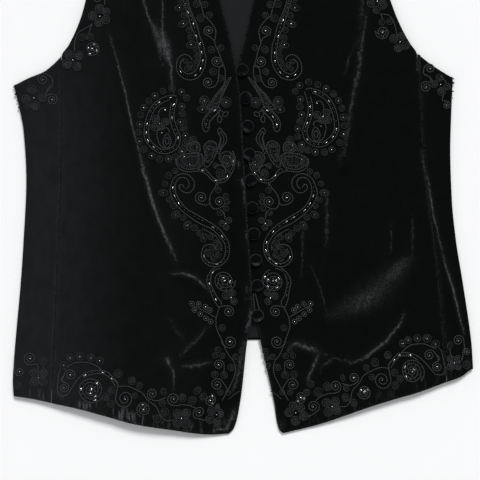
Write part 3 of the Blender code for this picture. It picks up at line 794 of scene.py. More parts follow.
embroidery = {
    "step": 1.0,
    "wander": 0.25,
    "seed": {"right": 11, "left": 12},
    # cord: how far it leads round itself as it twists, and how far its middle stands off the cloth
    "cordRadius": 0.55,
    "cordSides": 5,
    "lead": 1.2,
    "lift": 0.36,
    "coilPitch": 1.12,
    "fillRadius": 0.44,
    "fillPale": 0.5,
    "rimPale": 0.36,
    "petalPale": (1.7, 1.5),  # in round flowers, and in the others
    "petalOut": 1.38,
    "berrySize": 2.6,
    # points to a millimetre, where the heart starts, and how far and how often the cord strays
    "coil": {"round": 5.5, "points": 2.6, "heart": 0.1, "stray": 0.1, "strays": 3.3},
    "lobe": {
        "inner": 0.6, "waves": 5, "shortest": 2.2, "skipped": 0.18, "stray": 0.45, "strays": 1.3, "seeds": 4,
    },
    "curl": {"turns": 2.0, "points": 3.6, "heart": 0.13},
    "rosette": {"large": 9, "used": 0.9, "points": 3.3, "heart": 0.8, "beadSpace": 2.0},
    "turnPitch": {"rosette": 3.6, "small": 2.9},
    # beads: radius and height of a seed bead, hole upwards, as shares of its size
    "beadSides": 6,
    "beadLift": 0.75,
    "seedRadius": 0.8,
    "seedProfile": [(0.45, -0.75), (0.95, -0.3), (0.95, 0.3), (0.45, 0.75)],
    "bugleRadius": 0.52,
    "buglePitch": 4.6,
    "bugleLength": {"band": 3.2, "rosette": 3.7, "small": 2.5},
    # beads given a painted glint: their share, and how bright they and the others are
    "brightShare": {"band": 0.36, "rosette": 0.22, "small": 0.25},
    "brightGlint": (0.75, 1.0),
    "dullGlint": (0.0, 0.18),
    "picotOut": 0.2,
    "picotGlint": 0.25,
}

# The line that the two halves of the design mirror each other about, as (y, x)
mirrorLine = [
    (-318, 14.5), (-190, 10.3), (-151.5, 6.3), (-122, 4.3), (-89.4, 2.8), (-61, 1.3), (-46.9, 0.2),
    (14.2, -1.6), (48, -2), (66.5, -3.3), (87.2, -4.5), (119.9, -6), (300, -6),
]


def outerHeight(cut, x, y):  # outer face of the front, and of the side panel round to its fold
    half = cloth["front"] / 2
    front = frontMiddle(cut, x, y) + half
    seamX = curveThrough(cut["seam"], y)
    overZ, radius, centreX = roundFold(cut, y)
    share = np.clip((x - seamX) / (centreX - seamX), 0, 1)
    flat = between(lieHeight(x, y), overZ, share ** 3) + half
    past = np.maximum(cut["out"] * (x - centreX), 0.0)
    turned = underLayer + radius + np.sqrt(np.maximum((radius + half) ** 2 - past ** 2, 0.04))
    side = np.where(past > 0, turned, flat)
    return np.where((cut["out"] * (x - seamX) > 0) & (y < cut["joinY"]), side, front)


def onCloth(cut, flat):  # points on the cloth's outer face, and the face's normals there
    x, y = flat[:, 0], flat[:, 1]
    reach, steepest = 0.7, 1.5
    slopes = []
    for dx, dy in ((reach, 0.0), (0.0, reach)):
        rise = outerHeight(cut, x + dx, y + dy) - outerHeight(cut, x - dx, y - dy)
        slopes.append((rise / (2 * reach)).clip(-steepest, steepest))
    normal = unit(np.stack([-slopes[0], -slopes[1], np.ones(len(x))], axis=1))
    return np.stack([x, y, outerHeight(cut, x, y)], axis=1), normal


def distances(line):
    return np.concatenate([[0], np.cumsum(np.linalg.norm(np.diff(line, axis=0), axis=1))])


def pointsAt(line, far, at):  # where the line is at those distances along it
    return np.stack([np.interp(at, far, line[:, k]) for k in range(line.shape[1])], axis=1)


def evenly(line, step):
    far = distances(line)
    return pointsAt(line, far, np.linspace(0, far[-1], max(3, int(round(far[-1] / step)) + 1)))


def smoothLine(points, closed=False, step=None):
    p = np.array(points, float)
    if closed:
        p = np.concatenate([p[-1:], p, p[:2]])
    else:
        p = np.concatenate([[2 * p[0] - p[1]], p, [2 * p[-1] - p[-2]]])
    t = np.linspace(0, 1, 14, endpoint=False)[:, None]
    parts = []
    for a, b, c, d in zip(p[:-3], p[1:-2], p[2:-1], p[3:]):
        parts.append(0.5 * (2 * b + (c - a) * t + (2 * a - 5 * b + 4 * c - d) * t ** 2
                            + (3 * b - a - 3 * c + d) * t ** 3))
    parts.append(p[-2:-1])
    return evenly(np.concatenate(parts), step or embroidery["step"])


def besides(line, offset):  # the line moved sideways, to its left when offset is above 0
    way = unit(np.gradient(line, axis=0))
    return line + np.stack([-way[:, 1], way[:, 0]], axis=1) * offset


def stretch(line, start, end):  # part of a line, from one share of its points to another
    return line[int(len(line) * start):int(len(line) * end)]


def shrunk(line, share):  # a smaller outline inside another
    heart = line.mean(axis=0)
    return evenly(heart + (line - heart) * share, embroidery["step"])


def turned(u, v, lean):
    c, s = math.cos(math.radians(lean)), math.sin(math.radians(lean))
    return np.stack([u * c - v * s, u * s + v * c], axis=-1)


def oval(angle, radius, slim=1.0, lean=0.0):  # or a spiral, where the radius changes
    return turned(radius * np.cos(angle), radius * slim * np.sin(angle), lean)


class Ground:  # one region of the design: its own flat coordinates, placed on one half of the garment
    def __init__(self, work, put=lambda flat: flat):
        self.work = work
        self.put = put
        self.draw = work["draw"]

    def sew(self, table, *kinds):  # the rows of a region's table, one kind after another
        ways = {
            "lines": self.line,
            "faint": lambda *row: self.line(*row, pale=table["faintPale"]),
            "buds": self.disc,
            "beaded": lambda *row: self.disc(*row, bead=table["bead"]),
            "lobes": self.mottled,
            "rings": self.ring,
            "sprig": self.berry,
            "seeds": self.seed,
            "curls": self.curl,
            "petals": self.petals,
            "flowers": self.flower,
            "rosettes": self.rosette,
        }
        for kind in kinds:
            for row in table[kind]:
                ways[kind](*row)

    def cord(self, line, radius=None, pale=1.0):
        radius = radius or embroidery["cordRadius"]
        self.work["cords"].append((self.put(np.asarray(line, float)), radius, pale))

    def line(self, *points, pale=1.0):
        self.cord(smoothLine(points), pale=pale)

    def seed(self, x, y, size, glint):
        place = self.put(np.array([[x, y]], float))[0]
        self.work["seeds"].append((place, embroidery["seedRadius"] * size, glint))

    def bugles(self, line, pitch=None, kind="band"):  # a row of beads laid end to end, of which some get a painted glint
        line = self.put(evenly(np.asarray(line, float), 0.5))
        far, half, lit = distances(line), embroidery["bugleLength"][kind] / 2, False
        for at in np.arange(half * 1.5, far[-1] - half, pitch or embroidery["buglePitch"]):
            lit = not lit and self.draw.random() < embroidery["brightShare"][kind]
            glint = self.draw.uniform(*embroidery["brightGlint" if lit else "dullGlint"])
            self.work["bugles"].append((pointsAt(line, far, np.array([at - half, at + half])), glint))

    def disc(self, x, y, size, slim=1.0, lean=0.0, bead=None, pale=1.0):  # a petal or bud of coiled cord
        x, y = np.array([x, y]) + self.draw.uniform(-1, 1, 2) * embroidery["wander"]
        size *= self.draw.uniform(0.95, 1.05)
        coil, start = embroidery["coil"], self.draw.uniform(0, 2 * math.pi)
        angle = start + np.linspace(0, 2 * math.pi, max(12, int(size * coil["round"])))
        self.cord(oval(angle, size, slim, lean) + (x, y), pale=embroidery["rimPale"] * pale)
        turns = size * slim / embroidery["coilPitch"] - 0.6
        far = np.linspace((size - 1.0) / size, coil["heart"], max(8, int(size * turns * coil["points"])))
        angle = start + far * turns * 2 * math.pi
        ragged = 1 + coil["stray"] * np.sin(angle * coil["strays"] + start)
        pale *= embroidery["fillPale"] * self.draw.uniform(0.6, 1.5)
        self.cord(oval(angle, size * far * ragged, slim, lean) + (x, y), embroidery["fillRadius"], pale)
        if bead is not None:
            self.seed(x, y, 0.9, bead)

    def ring(self, x, y, size, slim=1.0, lean=0.0):
        angle = np.linspace(0, 2 * math.pi, max(14, int(size * embroidery["coil"]["round"])))
        self.cord(oval(angle, size, slim, lean) + (x, y))

    def berry(self, x, y):  # a ring with a bead in it
        self.ring(x, y, embroidery["berrySize"])
        self.seed(x, y, 1.0, self.draw.uniform(0.3, 0.9))

    def mottled(self, *outline):  # a lobe of any shape, filled with short uneven rows of cord
        edge, lobe = smoothLine(outline, closed=True), embroidery["lobe"]
        heart = edge.mean(axis=0)
        self.cord(edge, pale=0.85)
        round_ = np.linspace(0, 2 * math.pi, len(edge))
        wave = 1 + 0.1 * np.sin(round_ * lobe["waves"] + self.draw.uniform(0, 6))
        self.cord(shrunk(edge, (lobe["inner"] * wave)[:, None]), pale=0.7)
        axes = np.linalg.eigh(np.cov((edge - heart).T))[1]
        u, v = ((edge - heart) @ axes).T
        pitch = embroidery["coilPitch"]
        for row in np.arange(v.min() + pitch, v.max() - pitch / 2, pitch):
            ends = np.flatnonzero((v[:-1] - row) * (v[1:] - row) < 0)
            crossings = np.sort(between(u[ends], u[ends + 1], (row - v[ends]) / (v[ends + 1] - v[ends])))
            for a, b in zip(crossings[::2], crossings[1::2]):
                if b - a < lobe["shortest"] or self.draw.random() < lobe["skipped"]:
                    continue
                along = np.linspace(a + 0.5, b - 0.5, max(3, int(b - a)))
                wave = row + lobe["stray"] * np.sin(along * lobe["strays"] + self.draw.uniform(0, 6))
                pale = embroidery["fillPale"] * self.draw.uniform(0.0, 1.2)
                self.cord(np.stack([along, wave], axis=1) @ axes.T + heart, embroidery["fillRadius"], pale)
        for _ in range(lobe["seeds"]):
            place = heart + (edge[self.draw.integers(len(edge))] - heart) * self.draw.uniform(0.2, 0.8)
            self.seed(*place, 0.8, self.draw.uniform(0.0, 0.9) ** 2)

    def curl(self, x, y, size, hand, *tail):  # cord that runs in from its stem and coils up
        look, anchor = embroidery["curl"], np.array(tail[-1], float) - (x, y)
        start = math.atan2(anchor[1], anchor[0]) + hand * math.acos(min(size / np.hypot(*anchor), 1.0))
        far = np.linspace(1.0, look["heart"], int(size * look["points"] * look["turns"]))
        angle = start + hand * (1 - far) / (1 - look["heart"]) * look["turns"] * 2 * math.pi
        spiral = oval(angle, size * far) + (x, y)
        lead = smoothLine([*tail, spiral[1], spiral[3]])
        self.cord(np.concatenate([lead[:-2], spiral[3:]]))
        self.seed(x, y, 1.0, self.draw.uniform(0.35, 0.85))

    def flower(self, x, y, petals, petal):  # round, with its petals' places worked out
        for angle in np.arange(petals) * 360.0 / petals + 45.0:
            dx, dy = turned(petal * embroidery["petalOut"], 0.0, angle)
            slim = self.draw.uniform(0.86, 1.0)
            self.disc(x + dx, y + dy, petal, slim, angle, pale=embroidery["petalPale"][0])
        self.seed(x, y, 1.1, 0.6)

    def petals(self, x, y, rows):  # a flower whose petals each have a place and a size
        for row in rows:
            self.disc(*row, pale=embroidery["petalPale"][1])
        self.seed(x, y, 1.1, 0.7)

    def rosette(self, x, y, size):  # turns of cord with beads between them
        look = embroidery["rosette"]
        kind = "rosette" if size > look["large"] else "small"
        spacing = embroidery["turnPitch"][kind]
        turns = size * look["used"] / spacing
        count = int(size * turns * look["points"])
        angle = np.linspace(0, turns * 2 * math.pi, count) + self.draw.uniform(0, 6)
        radius = size * (1 - look["used"] * np.linspace(0, 1, count))
        self.cord(oval(angle, radius) + (x, y))
        radius = radius - spacing / 2
        beads = (oval(angle, radius) + (x, y))[radius > look["heart"]]
        self.bugles(beads, embroidery["bugleLength"][kind] + look["beadSpace"], kind)
        self.seed(x, y, 1.2, 0.9)


def bandPlace(cut, lifted=0.0):  # (distance from the mirror line, y)
    def put(flat):
        y = flat[:, 1] + lifted
        return np.stack([curveThrough(mirrorLine, y) + cut["out"] * flat[:, 0], y], axis=1)
    return put


def hemPlace(cut):  # (distance along the hem from the front's corner, distance up from it)
    line = smoothLine(sorted(cut["hem"], reverse=cut["out"] < 0), step=6.0)
    far, way = distances(line), unit(np.gradient(line, axis=0))

    def put(flat):
        at = flat[:, 0] + curveThrough(hemBand["slip"][cut["name"]], flat[:, 0])
        up = flat[:, 1] + curveThrough(hemBand["lift"][cut["name"]], flat[:, 0])
        wx, wy = pointsAt(way, far, at).T
        return pointsAt(line, far, at) + np.stack([-wy, wx], axis=1) * (cut["out"] * up)[:, None]
    return put


neckBand = {
    "outer": [
        (86, 266), (78, 241), (69, 215), (59.5, 185), (56, 168), (53.5, 151.5), (50, 139.5), (46, 131),
        (43, 122), (40.5, 111.5), (37.5, 104), (36.5, 96.5), (35.5, 89), (37, 81), (40, 74.5),
        (45.5, 68), (54.5, 65.5), (62, 68), (67, 73.5), (68, 80), (66.5, 86.5), (62.5, 91.5), (57, 93),
        (52.5, 90.5), (50.5, 87),
    ],
    "lines": [[
        (91, 265), (83, 239), (74, 213), (64.5, 184), (61, 168), (58.5, 152.5), (55.5, 141.5),
        (52.5, 132), (49.5, 122), (45.5, 113.5), (43, 104), (41.5, 96.5), (41.5, 89), (43.5, 82),
        (48.5, 75), (55, 72), (60.5, 74.5), (63.5, 79.5), (63, 85), (59, 88.5),
    ]],
    "rowed": (0.0, 0.55),  # shares of the outer line with a second cord and with beads beside it
    "rowGap": 1.8,
    "beadRow": (0.0, 0.9),
    "beadGap": 3.3,
    "bead": 0.8,
    "buds": [
        (94, 252, 3.3), (87, 232, 3.3), (80, 212, 3.3), (73.5, 192, 3.3), (67, 172, 3.3),
        (62, 152.5, 3.3), (58, 135.5, 3.2), (52.5, 119.5, 3.2), (50.5, 111.5, 3.4), (45, 98.5, 3.2),
        (44.5, 91, 3.2), (46, 84, 3.2), (58, 85.5, 2.6), (53.5, 82, 2.8), (56.5, 77.5, 2.6),
        (51, 78.5, 2.4),
    ],
    "beaded": [
        (91, 242, 5.0, 0.66, -15), (84.5, 222, 5.0, 0.66, -15), (78, 202, 5.0, 0.66, -15),
        (71.5, 182, 5.0, 0.66, -15), (66, 162, 5.0, 0.66, -15), (62.5, 144, 5.0, 0.66, -18),
        (58.5, 126.5, 5.2, 0.66, -22), (50.5, 104, 5.2, 0.66, -16),
    ],
}
innerVine = {
    "lines": [[
        (72, 268), (64, 240), (55, 213), (46.5, 182), (43.5, 166), (41, 152.5), (38.5, 144),
        (36, 135.5), (31, 131), (26.5, 125.5), (23.5, 119), (24, 112.5), (25, 105.5), (23, 100.5),
        (20.5, 93.5), (18, 85), (15.5, 77.5), (15.5, 68.5), (17.5, 61), (20.5, 53.5),
    ]],
    "buds": [
        (44, 148, 3.7), (35.5, 147.5, 3.6), (40, 132.5, 4.0), (30.5, 136, 3.4), (29, 98.5, 3.7),
        (18.5, 100.5, 3.0), (28.5, 74.5, 3.7), (20.5, 67.5, 3.5), (53, 176, 3.6), (42, 179, 3.6),
        (62, 207, 3.6), (50, 210, 3.6), (71, 237, 3.6), (60, 240, 3.6),
    ],
    "curls": [  # x, y, size, hand, and the tail that it grows from
        (31, 119, 5.7, 1, (25, 107), (28.5, 111.5)), (24, 86, 5.7, 1, (17.5, 80.5), (20.5, 80)),
        (34.5, 63, 6.0, 1, (18, 82), (21.5, 78.5), (22.5, 72), (23.5, 65.5), (27.5, 59)),
        (35, 163, 5.4, 1, (42, 156), (39.5, 156.5)), (43, 194, 5.4, 1, (49.5, 187), (47.5, 187.5)),
        (52.5, 224, 5.4, 1, (58.5, 217), (56.5, 217.5)), (62.5, 254, 5.4, 1, (68.5, 247), (66.5, 247.5)),
    ],
    "flowers": [(87, 279, 5, 3.8), (72, 281, 5, 3.8)],  # at the shoulder: x, y, petals and their size
}
blossom = {
    "lobes": [
        [(9.5, 68.5), (18.5, 51.5), (22.5, 43.5), (26, 34.5), (32, 33), (37, 35.5), (33.5, 40), (28.5, 48),
         (21.5, 56)],
    ],
    "bead": 0.7,
    "beaded": [(40, 42.5, 5.4), (16, 41.5, 5.2), (42, 33.5, 5.2, 0.66, 5)],
    "tail": [
        (22.5, 33), (29.5, 25.5), (34.5, 19), (35, 13), (38, 9.5), (41.5, 12), (42, 21), (36, 30),
        (28, 37),
    ],
    "tailInner": 0.72,
    "beadRow": [(27, 34.5), (33.5, 27), (38, 19), (38.5, 13.5)],
    "rings": [(23.5, 23, 3.6, 0.62, 90), (17, 28.5, 3.3, 0.7, -30)],
    "lines": [[(24, 33), (24.2, 29.5), (23.8, 26.8)], [(22.5, 33), (20.5, 31.5), (19.5, 30)]],
}
paisley = {
    "lifted": {"right": 0.0, "left": 7.5},
    "outer": [
        (70.5, 47.5), (75, 49), (84, 46.5), (93, 41), (99, 33.5), (103, 24), (105, 14.5), (105.5, 4.5),
        (102, -3.5), (95.5, -10), (88, -14), (80, -14), (71.5, -10), (67.5, -3.5), (66.5, 4.5),
        (69.5, 12.5), (72.5, 22.5), (72.5, 32), (70.5, 40), (69, 45.5),
    ],
    "bandWide": 4.6,
    "bead": 0.75,  # on every second bud
    "budPlaces": [
        (74, 56), (64.5, 52), (59, 46), (64.5, 37), (64, 29), (66, 20), (63.5, 13), (61, 5), (61, -3),
        (65, -12), (72, -18), (80, -20), (89.5, -20.5), (98, -17), (106.5, -10), (111, -1),
        (111.5, 8.5), (110.5, 17.5), (109, 27.5), (105.5, 35.5), (100, 42.5), (93, 48.5), (84, 53),
    ],
    "budSize": 3.4,
    "petals": [(88.5, 18.3, [(92.5, 22.5, 3.9), (94, 14.5, 3.9), (87.2, 14.5, 3.6), (82.5, 20, 4.0)])],
    "lines": [
        [(89, 23), (89.5, 29.5), (86.5, 34.5), (82.3, 34.8), (81.3, 32.4)],
        [(91, 2), (91.8, 6), (90.5, 11), (86.5, 13), (81.5, 13.5), (78.5, 11.5), (78.5, 8)],
        [(91, 2), (89, -4.5), (83.5, -8.8)],
    ],
    "seeds": [(82.3, 32.8, 1.0, 0.9), (86.3, 8, 1.0, 0.6)],
    "drop": [(80.5, 7), (84.5, 1.5), (85, -3.5), (81, -8.5), (77, -3.5), (77, 2)],
    "dropInner": 0.5,
}
cluster = {
    "horn": [
        (23.5, 13.5), (26, 9.5), (23, 3), (25, -6.5), (26.5, -11.5), (25, -14.5), (21.5, -8),
        (16.5, -1.5), (16.5, 4.5), (21, 11),
    ],
    "hornInner": (0.5, 0.72),
    "lobes": [
        [(25, -18.5), (20, -13), (13.5, -12.5), (9, -18), (9.5, -26), (14.5, -34), (20, -27.5)],
        [(34.5, -0.5), (27.5, -3.5), (28, -13), (32, -22.5), (38.5, -29), (41.5, -26), (40, -15.5),
         (41, -6.5)],
        [(42.5, -17), (47, -14), (56, -14), (64, -15.5), (71, -20), (69.5, -26), (61, -31), (51, -30.5),
         (44, -27)],
        [(45, -9), (46.5, -3), (51.5, -1.5), (57.5, -4), (59, -10), (53, -13), (47, -13)],
    ],
    "buds": [(53, 0.5, 4.0), (64, -9.5, 4.2), (24, -36.5, 5.2, 0.8, 80), (28.5, -27.5, 2.8)],
    "cupOuter": [
        (72, -20), (71.5, -25.5), (68.5, -30.5), (60.5, -34), (52.5, -33.5), (45.5, -33.5),
        (38.5, -37.5), (32, -44), (25, -46), (18, -43.5), (12, -36.5), (8.5, -28), (7.5, -18),
        (10, -11.5),
    ],
    "beadGap": 1.9,
    "beadRow": (0.3, 0.92),
    "lines": [
        [(42.5, -30.5), (39, -32), (34.5, -38), (29.5, -42), (26, -43), (19.5, -41), (15, -36)],
        [(31, -30), (25.5, -26.5), (19.5, -29.5), (17.8, -36)],
    ],
}
scroll = {
    "lines": [[
        (64, -51.5), (66, -48), (69, -48.5), (69, -52.5), (64, -56.5), (57.5, -56), (53, -49),
        (54.5, -41.5), (61, -36.5), (69, -37), (75.5, -42), (79, -51), (79.5, -57.5), (76.5, -66),
        (70, -74.5), (62, -81.5), (52.5, -88.5), (44.5, -92.5), (38, -95.5), (31.5, -101), (26.5, -107),
        (23, -114), (23.5, -122.5), (26, -128.5), (31, -132.5), (37, -133.5), (43, -131), (46, -126.5),
        (46, -121.5), (43, -117.5),
    ]],
    "start": [(62, -52.5), (58.5, -48.5), (59.5, -43), (63, -40.5), (68, -40.5)],
    "inner": [
        (72.5, -45), (74, -51), (73.5, -57.5), (69.5, -66), (63, -74), (53.5, -80), (44, -85.5),
        (34.5, -91.5), (28, -97), (23.5, -103), (20, -109), (18.5, -115), (19, -122.5), (21.5, -128.5),
        (26, -133.5), (32, -136.5), (39.5, -136.5), (45.5, -133), (49, -127.5), (49, -121.5),
        (46.5, -115.5), (42, -113), (37, -113), (33.5, -115.5), (34.5, -118),
    ],
    "beadGap": 2.5,
    "faintPale": 0.8,
    "faint": [[(47, -96), (41.5, -98.5), (34, -103), (30, -108), (27.2, -114), (27.2, -120)]],
    "buds": [
        (73, -33.5, 3.1), (80.5, -38, 3.3), (84.5, -47, 3.0), (81.5, -64.5, 3.0), (77, -71, 3.0),
        (67, -83.5, 3.2), (55.5, -95, 3.3), (50, -100.5, 3.2), (38, -105, 3.0), (33, -111, 3.2),
        (31.5, -117, 3.2), (31, -124.5, 3.2), (36.5, -128, 3.2), (40.5, -122.5, 3.8), (38, -117, 2.4),
    ],
    "bead": 0.4,
    "beaded": [
        (87.5, -57, 5.2, 0.72, -5), (75.5, -80.5, 5.0, 0.72, -35), (63, -92, 5.3, 0.68, -55),
        (46, -105.5, 4.8, 0.66, -60),
    ],
}
middle = {  # what fills the ground between the bands, and the stem below them
    "curls": [
        (46.5, -62, 7.0, 1, (37.5, -68), (41.5, -70.2)), (25.5, -185.5, 6.2, 1, (36, -181.5), (33, -180)),
        (27, -66.5, 6.2, -1, (29, -47), (30, -50), (34.5, -56), (37.5, -63), (37, -70), (32.5, -74.5)),
        (25.5, -218.5, 7.0, -1, (34.5, -217), (33.8, -221)), (38.5, -243.5, 5.8, -1, (34.5, -254),
        (33, -250)),
        (41, -265, 6.8, -1, (29.5, -273), (31, -268)),
    ],
    "buds": [
        (27.5, -54, 3.1), (19.5, -60, 3.0), (18.5, -67, 2.9), (20, -74, 2.9), (27, -78.5, 3.1),
        (33.5, -203.5, 3.4), (12.8, -229, 3.2), (13.8, -236, 2.8), (20, -235, 3.2),
        (15, -244.5, 3.4, 0.6, 70), (25, -246.5, 3.4), (39, -227.5, 3.0), (42.5, -233.5, 3.0),
        (34.5, -233.5, 3.0), (43, -254, 3.6), (33, -254.5, 3.8), (38, -273.5, 3.0), (29.5, -273.5, 2.8),
    ],
    "petals": [
        (21.3, -90, [(25.5, -89.5, 3.1), (17.5, -86.5, 3.1), (21, -94.5, 3.1)]),
        (21.5, -170.5, [(19, -165.5, 3.4), (26.5, -168.5, 4.0), (18.5, -174.5, 3.6)]),
    ],
    "comma": [
        (35, -137), (41.5, -143), (45, -149), (45.5, -155), (43, -162), (41, -170.5), (37.5, -178.5),
        (35, -181.5),
    ],
    "commaGap": 2.3,
    "rosettes": [(26.5, -152.3, 12.0)],
    "lines": [
        [(30, -138.5), (37, -141.5), (40.5, -148), (41.5, -155), (39.5, -162), (36.5, -169.5),
         (33, -174.5),
         (32.5, -178.5)],
        [(35, -181.5), (37.5, -187), (39.5, -193), (40, -199), (40, -202.5), (37.5, -209.5),
         (33.5, -219.5), (28.5, -231.5), (22.5, -239.5), (20.5, -247.5), (22, -256), (27, -266.5),
         (31, -273.5),
         (36, -282.5)],
        [(40, -192), (52, -185), (63, -179.5)],
        [(26, -75.5), (22.8, -78.5), (22, -86)],
        [(28, -46), (27.5, -50)],
    ],
    "faintPale": 0.7,
    "faint": [[(17, -272), (23, -276), (28.8, -281)]],    "sprig": [
        (64.5, -177), (57, -177.5), (62.5, -184), (50, -180.5), (56.5, -188.5), (45.5, -184),
        (50.5, -193), (45.5, -196.5),
    ],
}
hemBand = {  # along the hem from the front's corner, and up from it
    "lift": {"right": [(0, 3.0), (28, 3.0), (45, 0.0)], "left": [(0, 0.0), (45, 0.0)]},
    "slip": {
        "right": [(0, 0.0), (260, 0.0)],
        "left": [(0, 3.5), (30, 4.0), (56, 6.0), (98, 1.0), (160, -4.0), (260, -4.0)],
    },
    "curls": [
        (35.5, 20.5, 6.8, 1, (26, 12.5), (30, 12)),
        (65.5, 33.5, 7.0, 1, (40, 26), (46.5, 28.5), (55.5, 28.5), (60, 27)),
        (90, 35.5, 6.2, 1, (74, 34), (79, 31), (84, 29)), (121, 24, 10.2, -1, (137, 41), (132.5, 36.5)),
        (182.5, 34, 6.0, 1, (188.5, 24), (189.5, 28)), (186, 19.3, 5.4, 1, (190, 31), (190.5, 26)),
    ],
    "buds": [
        (40, 45, 3.9), (33, 37.5, 3.7), (56, 36, 4.3), (45, 34, 4.4), (77.5, 40, 3.8, 0.75, 80),
        (77, 27.5, 3.6), (72.5, 18.5, 4.5), (80, 10, 4.2), (107.5, 41.5, 3.6), (110.5, 30, 3.2),
        (119, 44.5, 4.3), (135, 48, 4.2), (137, 28, 3.8), (141, 20, 3.8), (133.8, 14.5, 3.8),
    ],
    "bead": 0.75,
    "beaded": [(191.5, 43, 4.1), (186, 52, 4.0), (176.5, 55.8, 3.8), (166, 57, 3.8), (157, 56, 3.8)],
    "petals": [
        (14.5, 19, [(7.5, 20.5, 4.6), (12.5, 10.5, 4.7), (22.6, 13.5, 4.5), (21.5, 22.5, 4.4),
        (13, 27, 4.2)]),
        (53.7, 14.2, [(59, 18, 4.7), (49.5, 20, 4.7), (57.6, 8.9, 4.7), (48.4, 9.8, 4.7)]),
    ],
    "rosettes": [(24.5, 34, 7.0), (96.5, 17.5, 8.2), (158, 23.5, 14.0)],
    "lines": [
        [(131, 34.5), (123, 37.5), (114, 37), (102, 34.5), (94, 28), (87, 25), (82, 21.5), (76.5, 13.5),
         (69.5, 9.5), (62.5, 11)],
        [(153.5, 47), (158.5, 49.5), (166, 51), (172, 50.5), (181, 47.5), (186, 43), (190.5, 38)],
        [(181, 12.5), (188, 9.5), (192.5, 14), (194, 24), (195, 33), (193.5, 38.5)],
    ],
    "arch": [
        (132, 36.5), (139.5, 42.5), (147.5, 46.5), (156, 45.8), (164.5, 42), (171, 36), (175.5, 27.5),
        (178.5, 19), (181, 12.5),
    ],
    "archWide": 3.4,
    "archUnder": (0.0, 0.66),
    "archBeads": (0.0, 0.64),
    "archPitch": 4.0,
}
hemSides = {  # on the side panels, in the garment's own place
    "right": {
        "curls": [
            (-231, -236.5, 7.2, -1, (-222, -250), (-223.5, -243)),
            (-242.5, -251, 5.0, 1, (-248, -234), (-247.5, -243)),
        ],
        "buds": [(-216.5, -239.5, 4.4), (-244.6, -266.5, 4.3)],
        "flowers": [(-221.6, -257.3, 4, 4.8)],
        "lines": [[(-216, -244), (-217.5, -249), (-219.5, -252)]],
    },
    "left": {
        "curls": [
            (234, -217, 6.0, 1, (241, -232), (240.5, -224)),
            (242.8, -229.5, 4.2, -1, (236, -240), (238.5, -236)),
        ],
        "buds": [(243, -243.6, 4.2), (224.6, -222, 4.2, 0.6, 60)],
        "flowers": [(229.5, -241.5, 4, 4.0)],
        "lines": [[(224.5, -226), (225.5, -232), (228, -236)]],
    },
}
armholes = {  # in the garment's own place
    "right": {
        "petals": [
            (-155, 135, [
                (-163.3, 134.9, 4.5), (-156.3, 127.6, 4.4), (-155.7, 143, 4.7), (-148.2, 139.7, 4.2),
                (-148.6, 131.2, 4.2)]),
            (-184, 87, [
                (-188.6, 93.2, 4.7), (-178, 91.8, 4.7), (-190.6, 83, 4.7), (-180, 80.2, 4.7)]),
            (-226.5, 46.3, [
                (-228.9, 55.4, 5.0), (-217.8, 46.8, 4.3), (-235.4, 45, 4.5), (-225, 37.3, 4.5),
                (-233.5, 37, 3.0)]),
        ],
        "curls": [
            (-217, 66.5, 6.4, 1, (-214, 46.5), (-212.5, 53.5), (-207, 59), (-207.5, 68)),
            (-207, 44.5, 6.2, -1, (-209, 60), (-212.5, 54), (-213.3, 49)),
            (-157.5, 154.5, 5.6, 1, (-150, 147), (-150, 152)),
        ],
        "buds": [(-174.5, 112, 3.8), (-166, 112.5, 3.8)],
        "rosettes": [(-163.5, 100, 8.2)],
        "lines": [
            [(-163.5, 126.5), (-169.5, 122.5), (-177.5, 118), (-180.5, 113.5), (-182.5, 106.5),
             (-183, 96.5)],
            [(-163.5, 126.5), (-165.5, 121.5), (-167.5, 114.5)],
        ],
        "picots": [(58.5, 1.1), (50.8, 1.8), (43.5, 0.9), (36.0, 1.5)],  # y and size, along the fold
    },
    "left": {
        "petals": [
            (145.5, 151, [
                (151.2, 147.3, 4.8), (144.8, 141.9, 3.8), (138.6, 148.8, 4.2), (140.5, 157.4, 4.2),
                (149.5, 157, 4.4)]),
            (170.3, 106.6, [
                (172, 112.7, 4.3), (164, 110.3, 4.3), (168.6, 100.2, 4.3), (176.6, 103.2, 4.3)]),
            (214.8, 61, [(213.6, 68, 3.8), (207.6, 61.5, 3.8), (215.6, 53.3, 4.5), (222, 58.6, 3.6)]),
        ],
        "curls": [
            (203, 78.2, 5.4, -1, (204.5, 64.5), (202.5, 69), (196.5, 72), (196.5, 78)),
            (199, 58.2, 6.0, 1, (197, 72), (203.5, 68), (205.5, 63)),
            (221.3, 38.5, 4.4, -1, (218, 50), (216.6, 44)),
        ],
        "buds": [
            (151, 128.3, 3.2), (159.3, 128.8, 3.2), (190.2, 90, 3.0, 0.6, 60),
            (190.4, 84, 3.2, 0.6, 60), (190.6, 78, 3.0, 0.6, 60),
        ],
        "rosettes": [(151.5, 117.3, 7.8)],
        "lines": [
            [(149.5, 137.5), (158, 136), (163, 130.5), (165.5, 123), (167, 115)],
            [(149.5, 137.5), (152, 131.5)],
            [(215, 70), (218.5, 66), (221, 62.5)],
        ],
        "picots": [(67.5, 1.1), (63.0, 1.9), (53.7, 1.3), (46.5, 0.9)],
    },
}


def stitchNeck(work, cut):
    at = Ground(work, bandPlace(cut))
    outer = smoothLine(neckBand["outer"])
    at.cord(outer)
    at.sew(neckBand, "lines")
    at.cord(besides(stretch(outer, *neckBand["rowed"]), neckBand["rowGap"]), pale=0.7)
    at.bugles(stretch(besides(outer, neckBand["beadGap"]), *neckBand["beadRow"]))
    at.sew(neckBand, "buds", "beaded")
    at.sew(innerVine, "lines", "buds", "curls", "flowers")


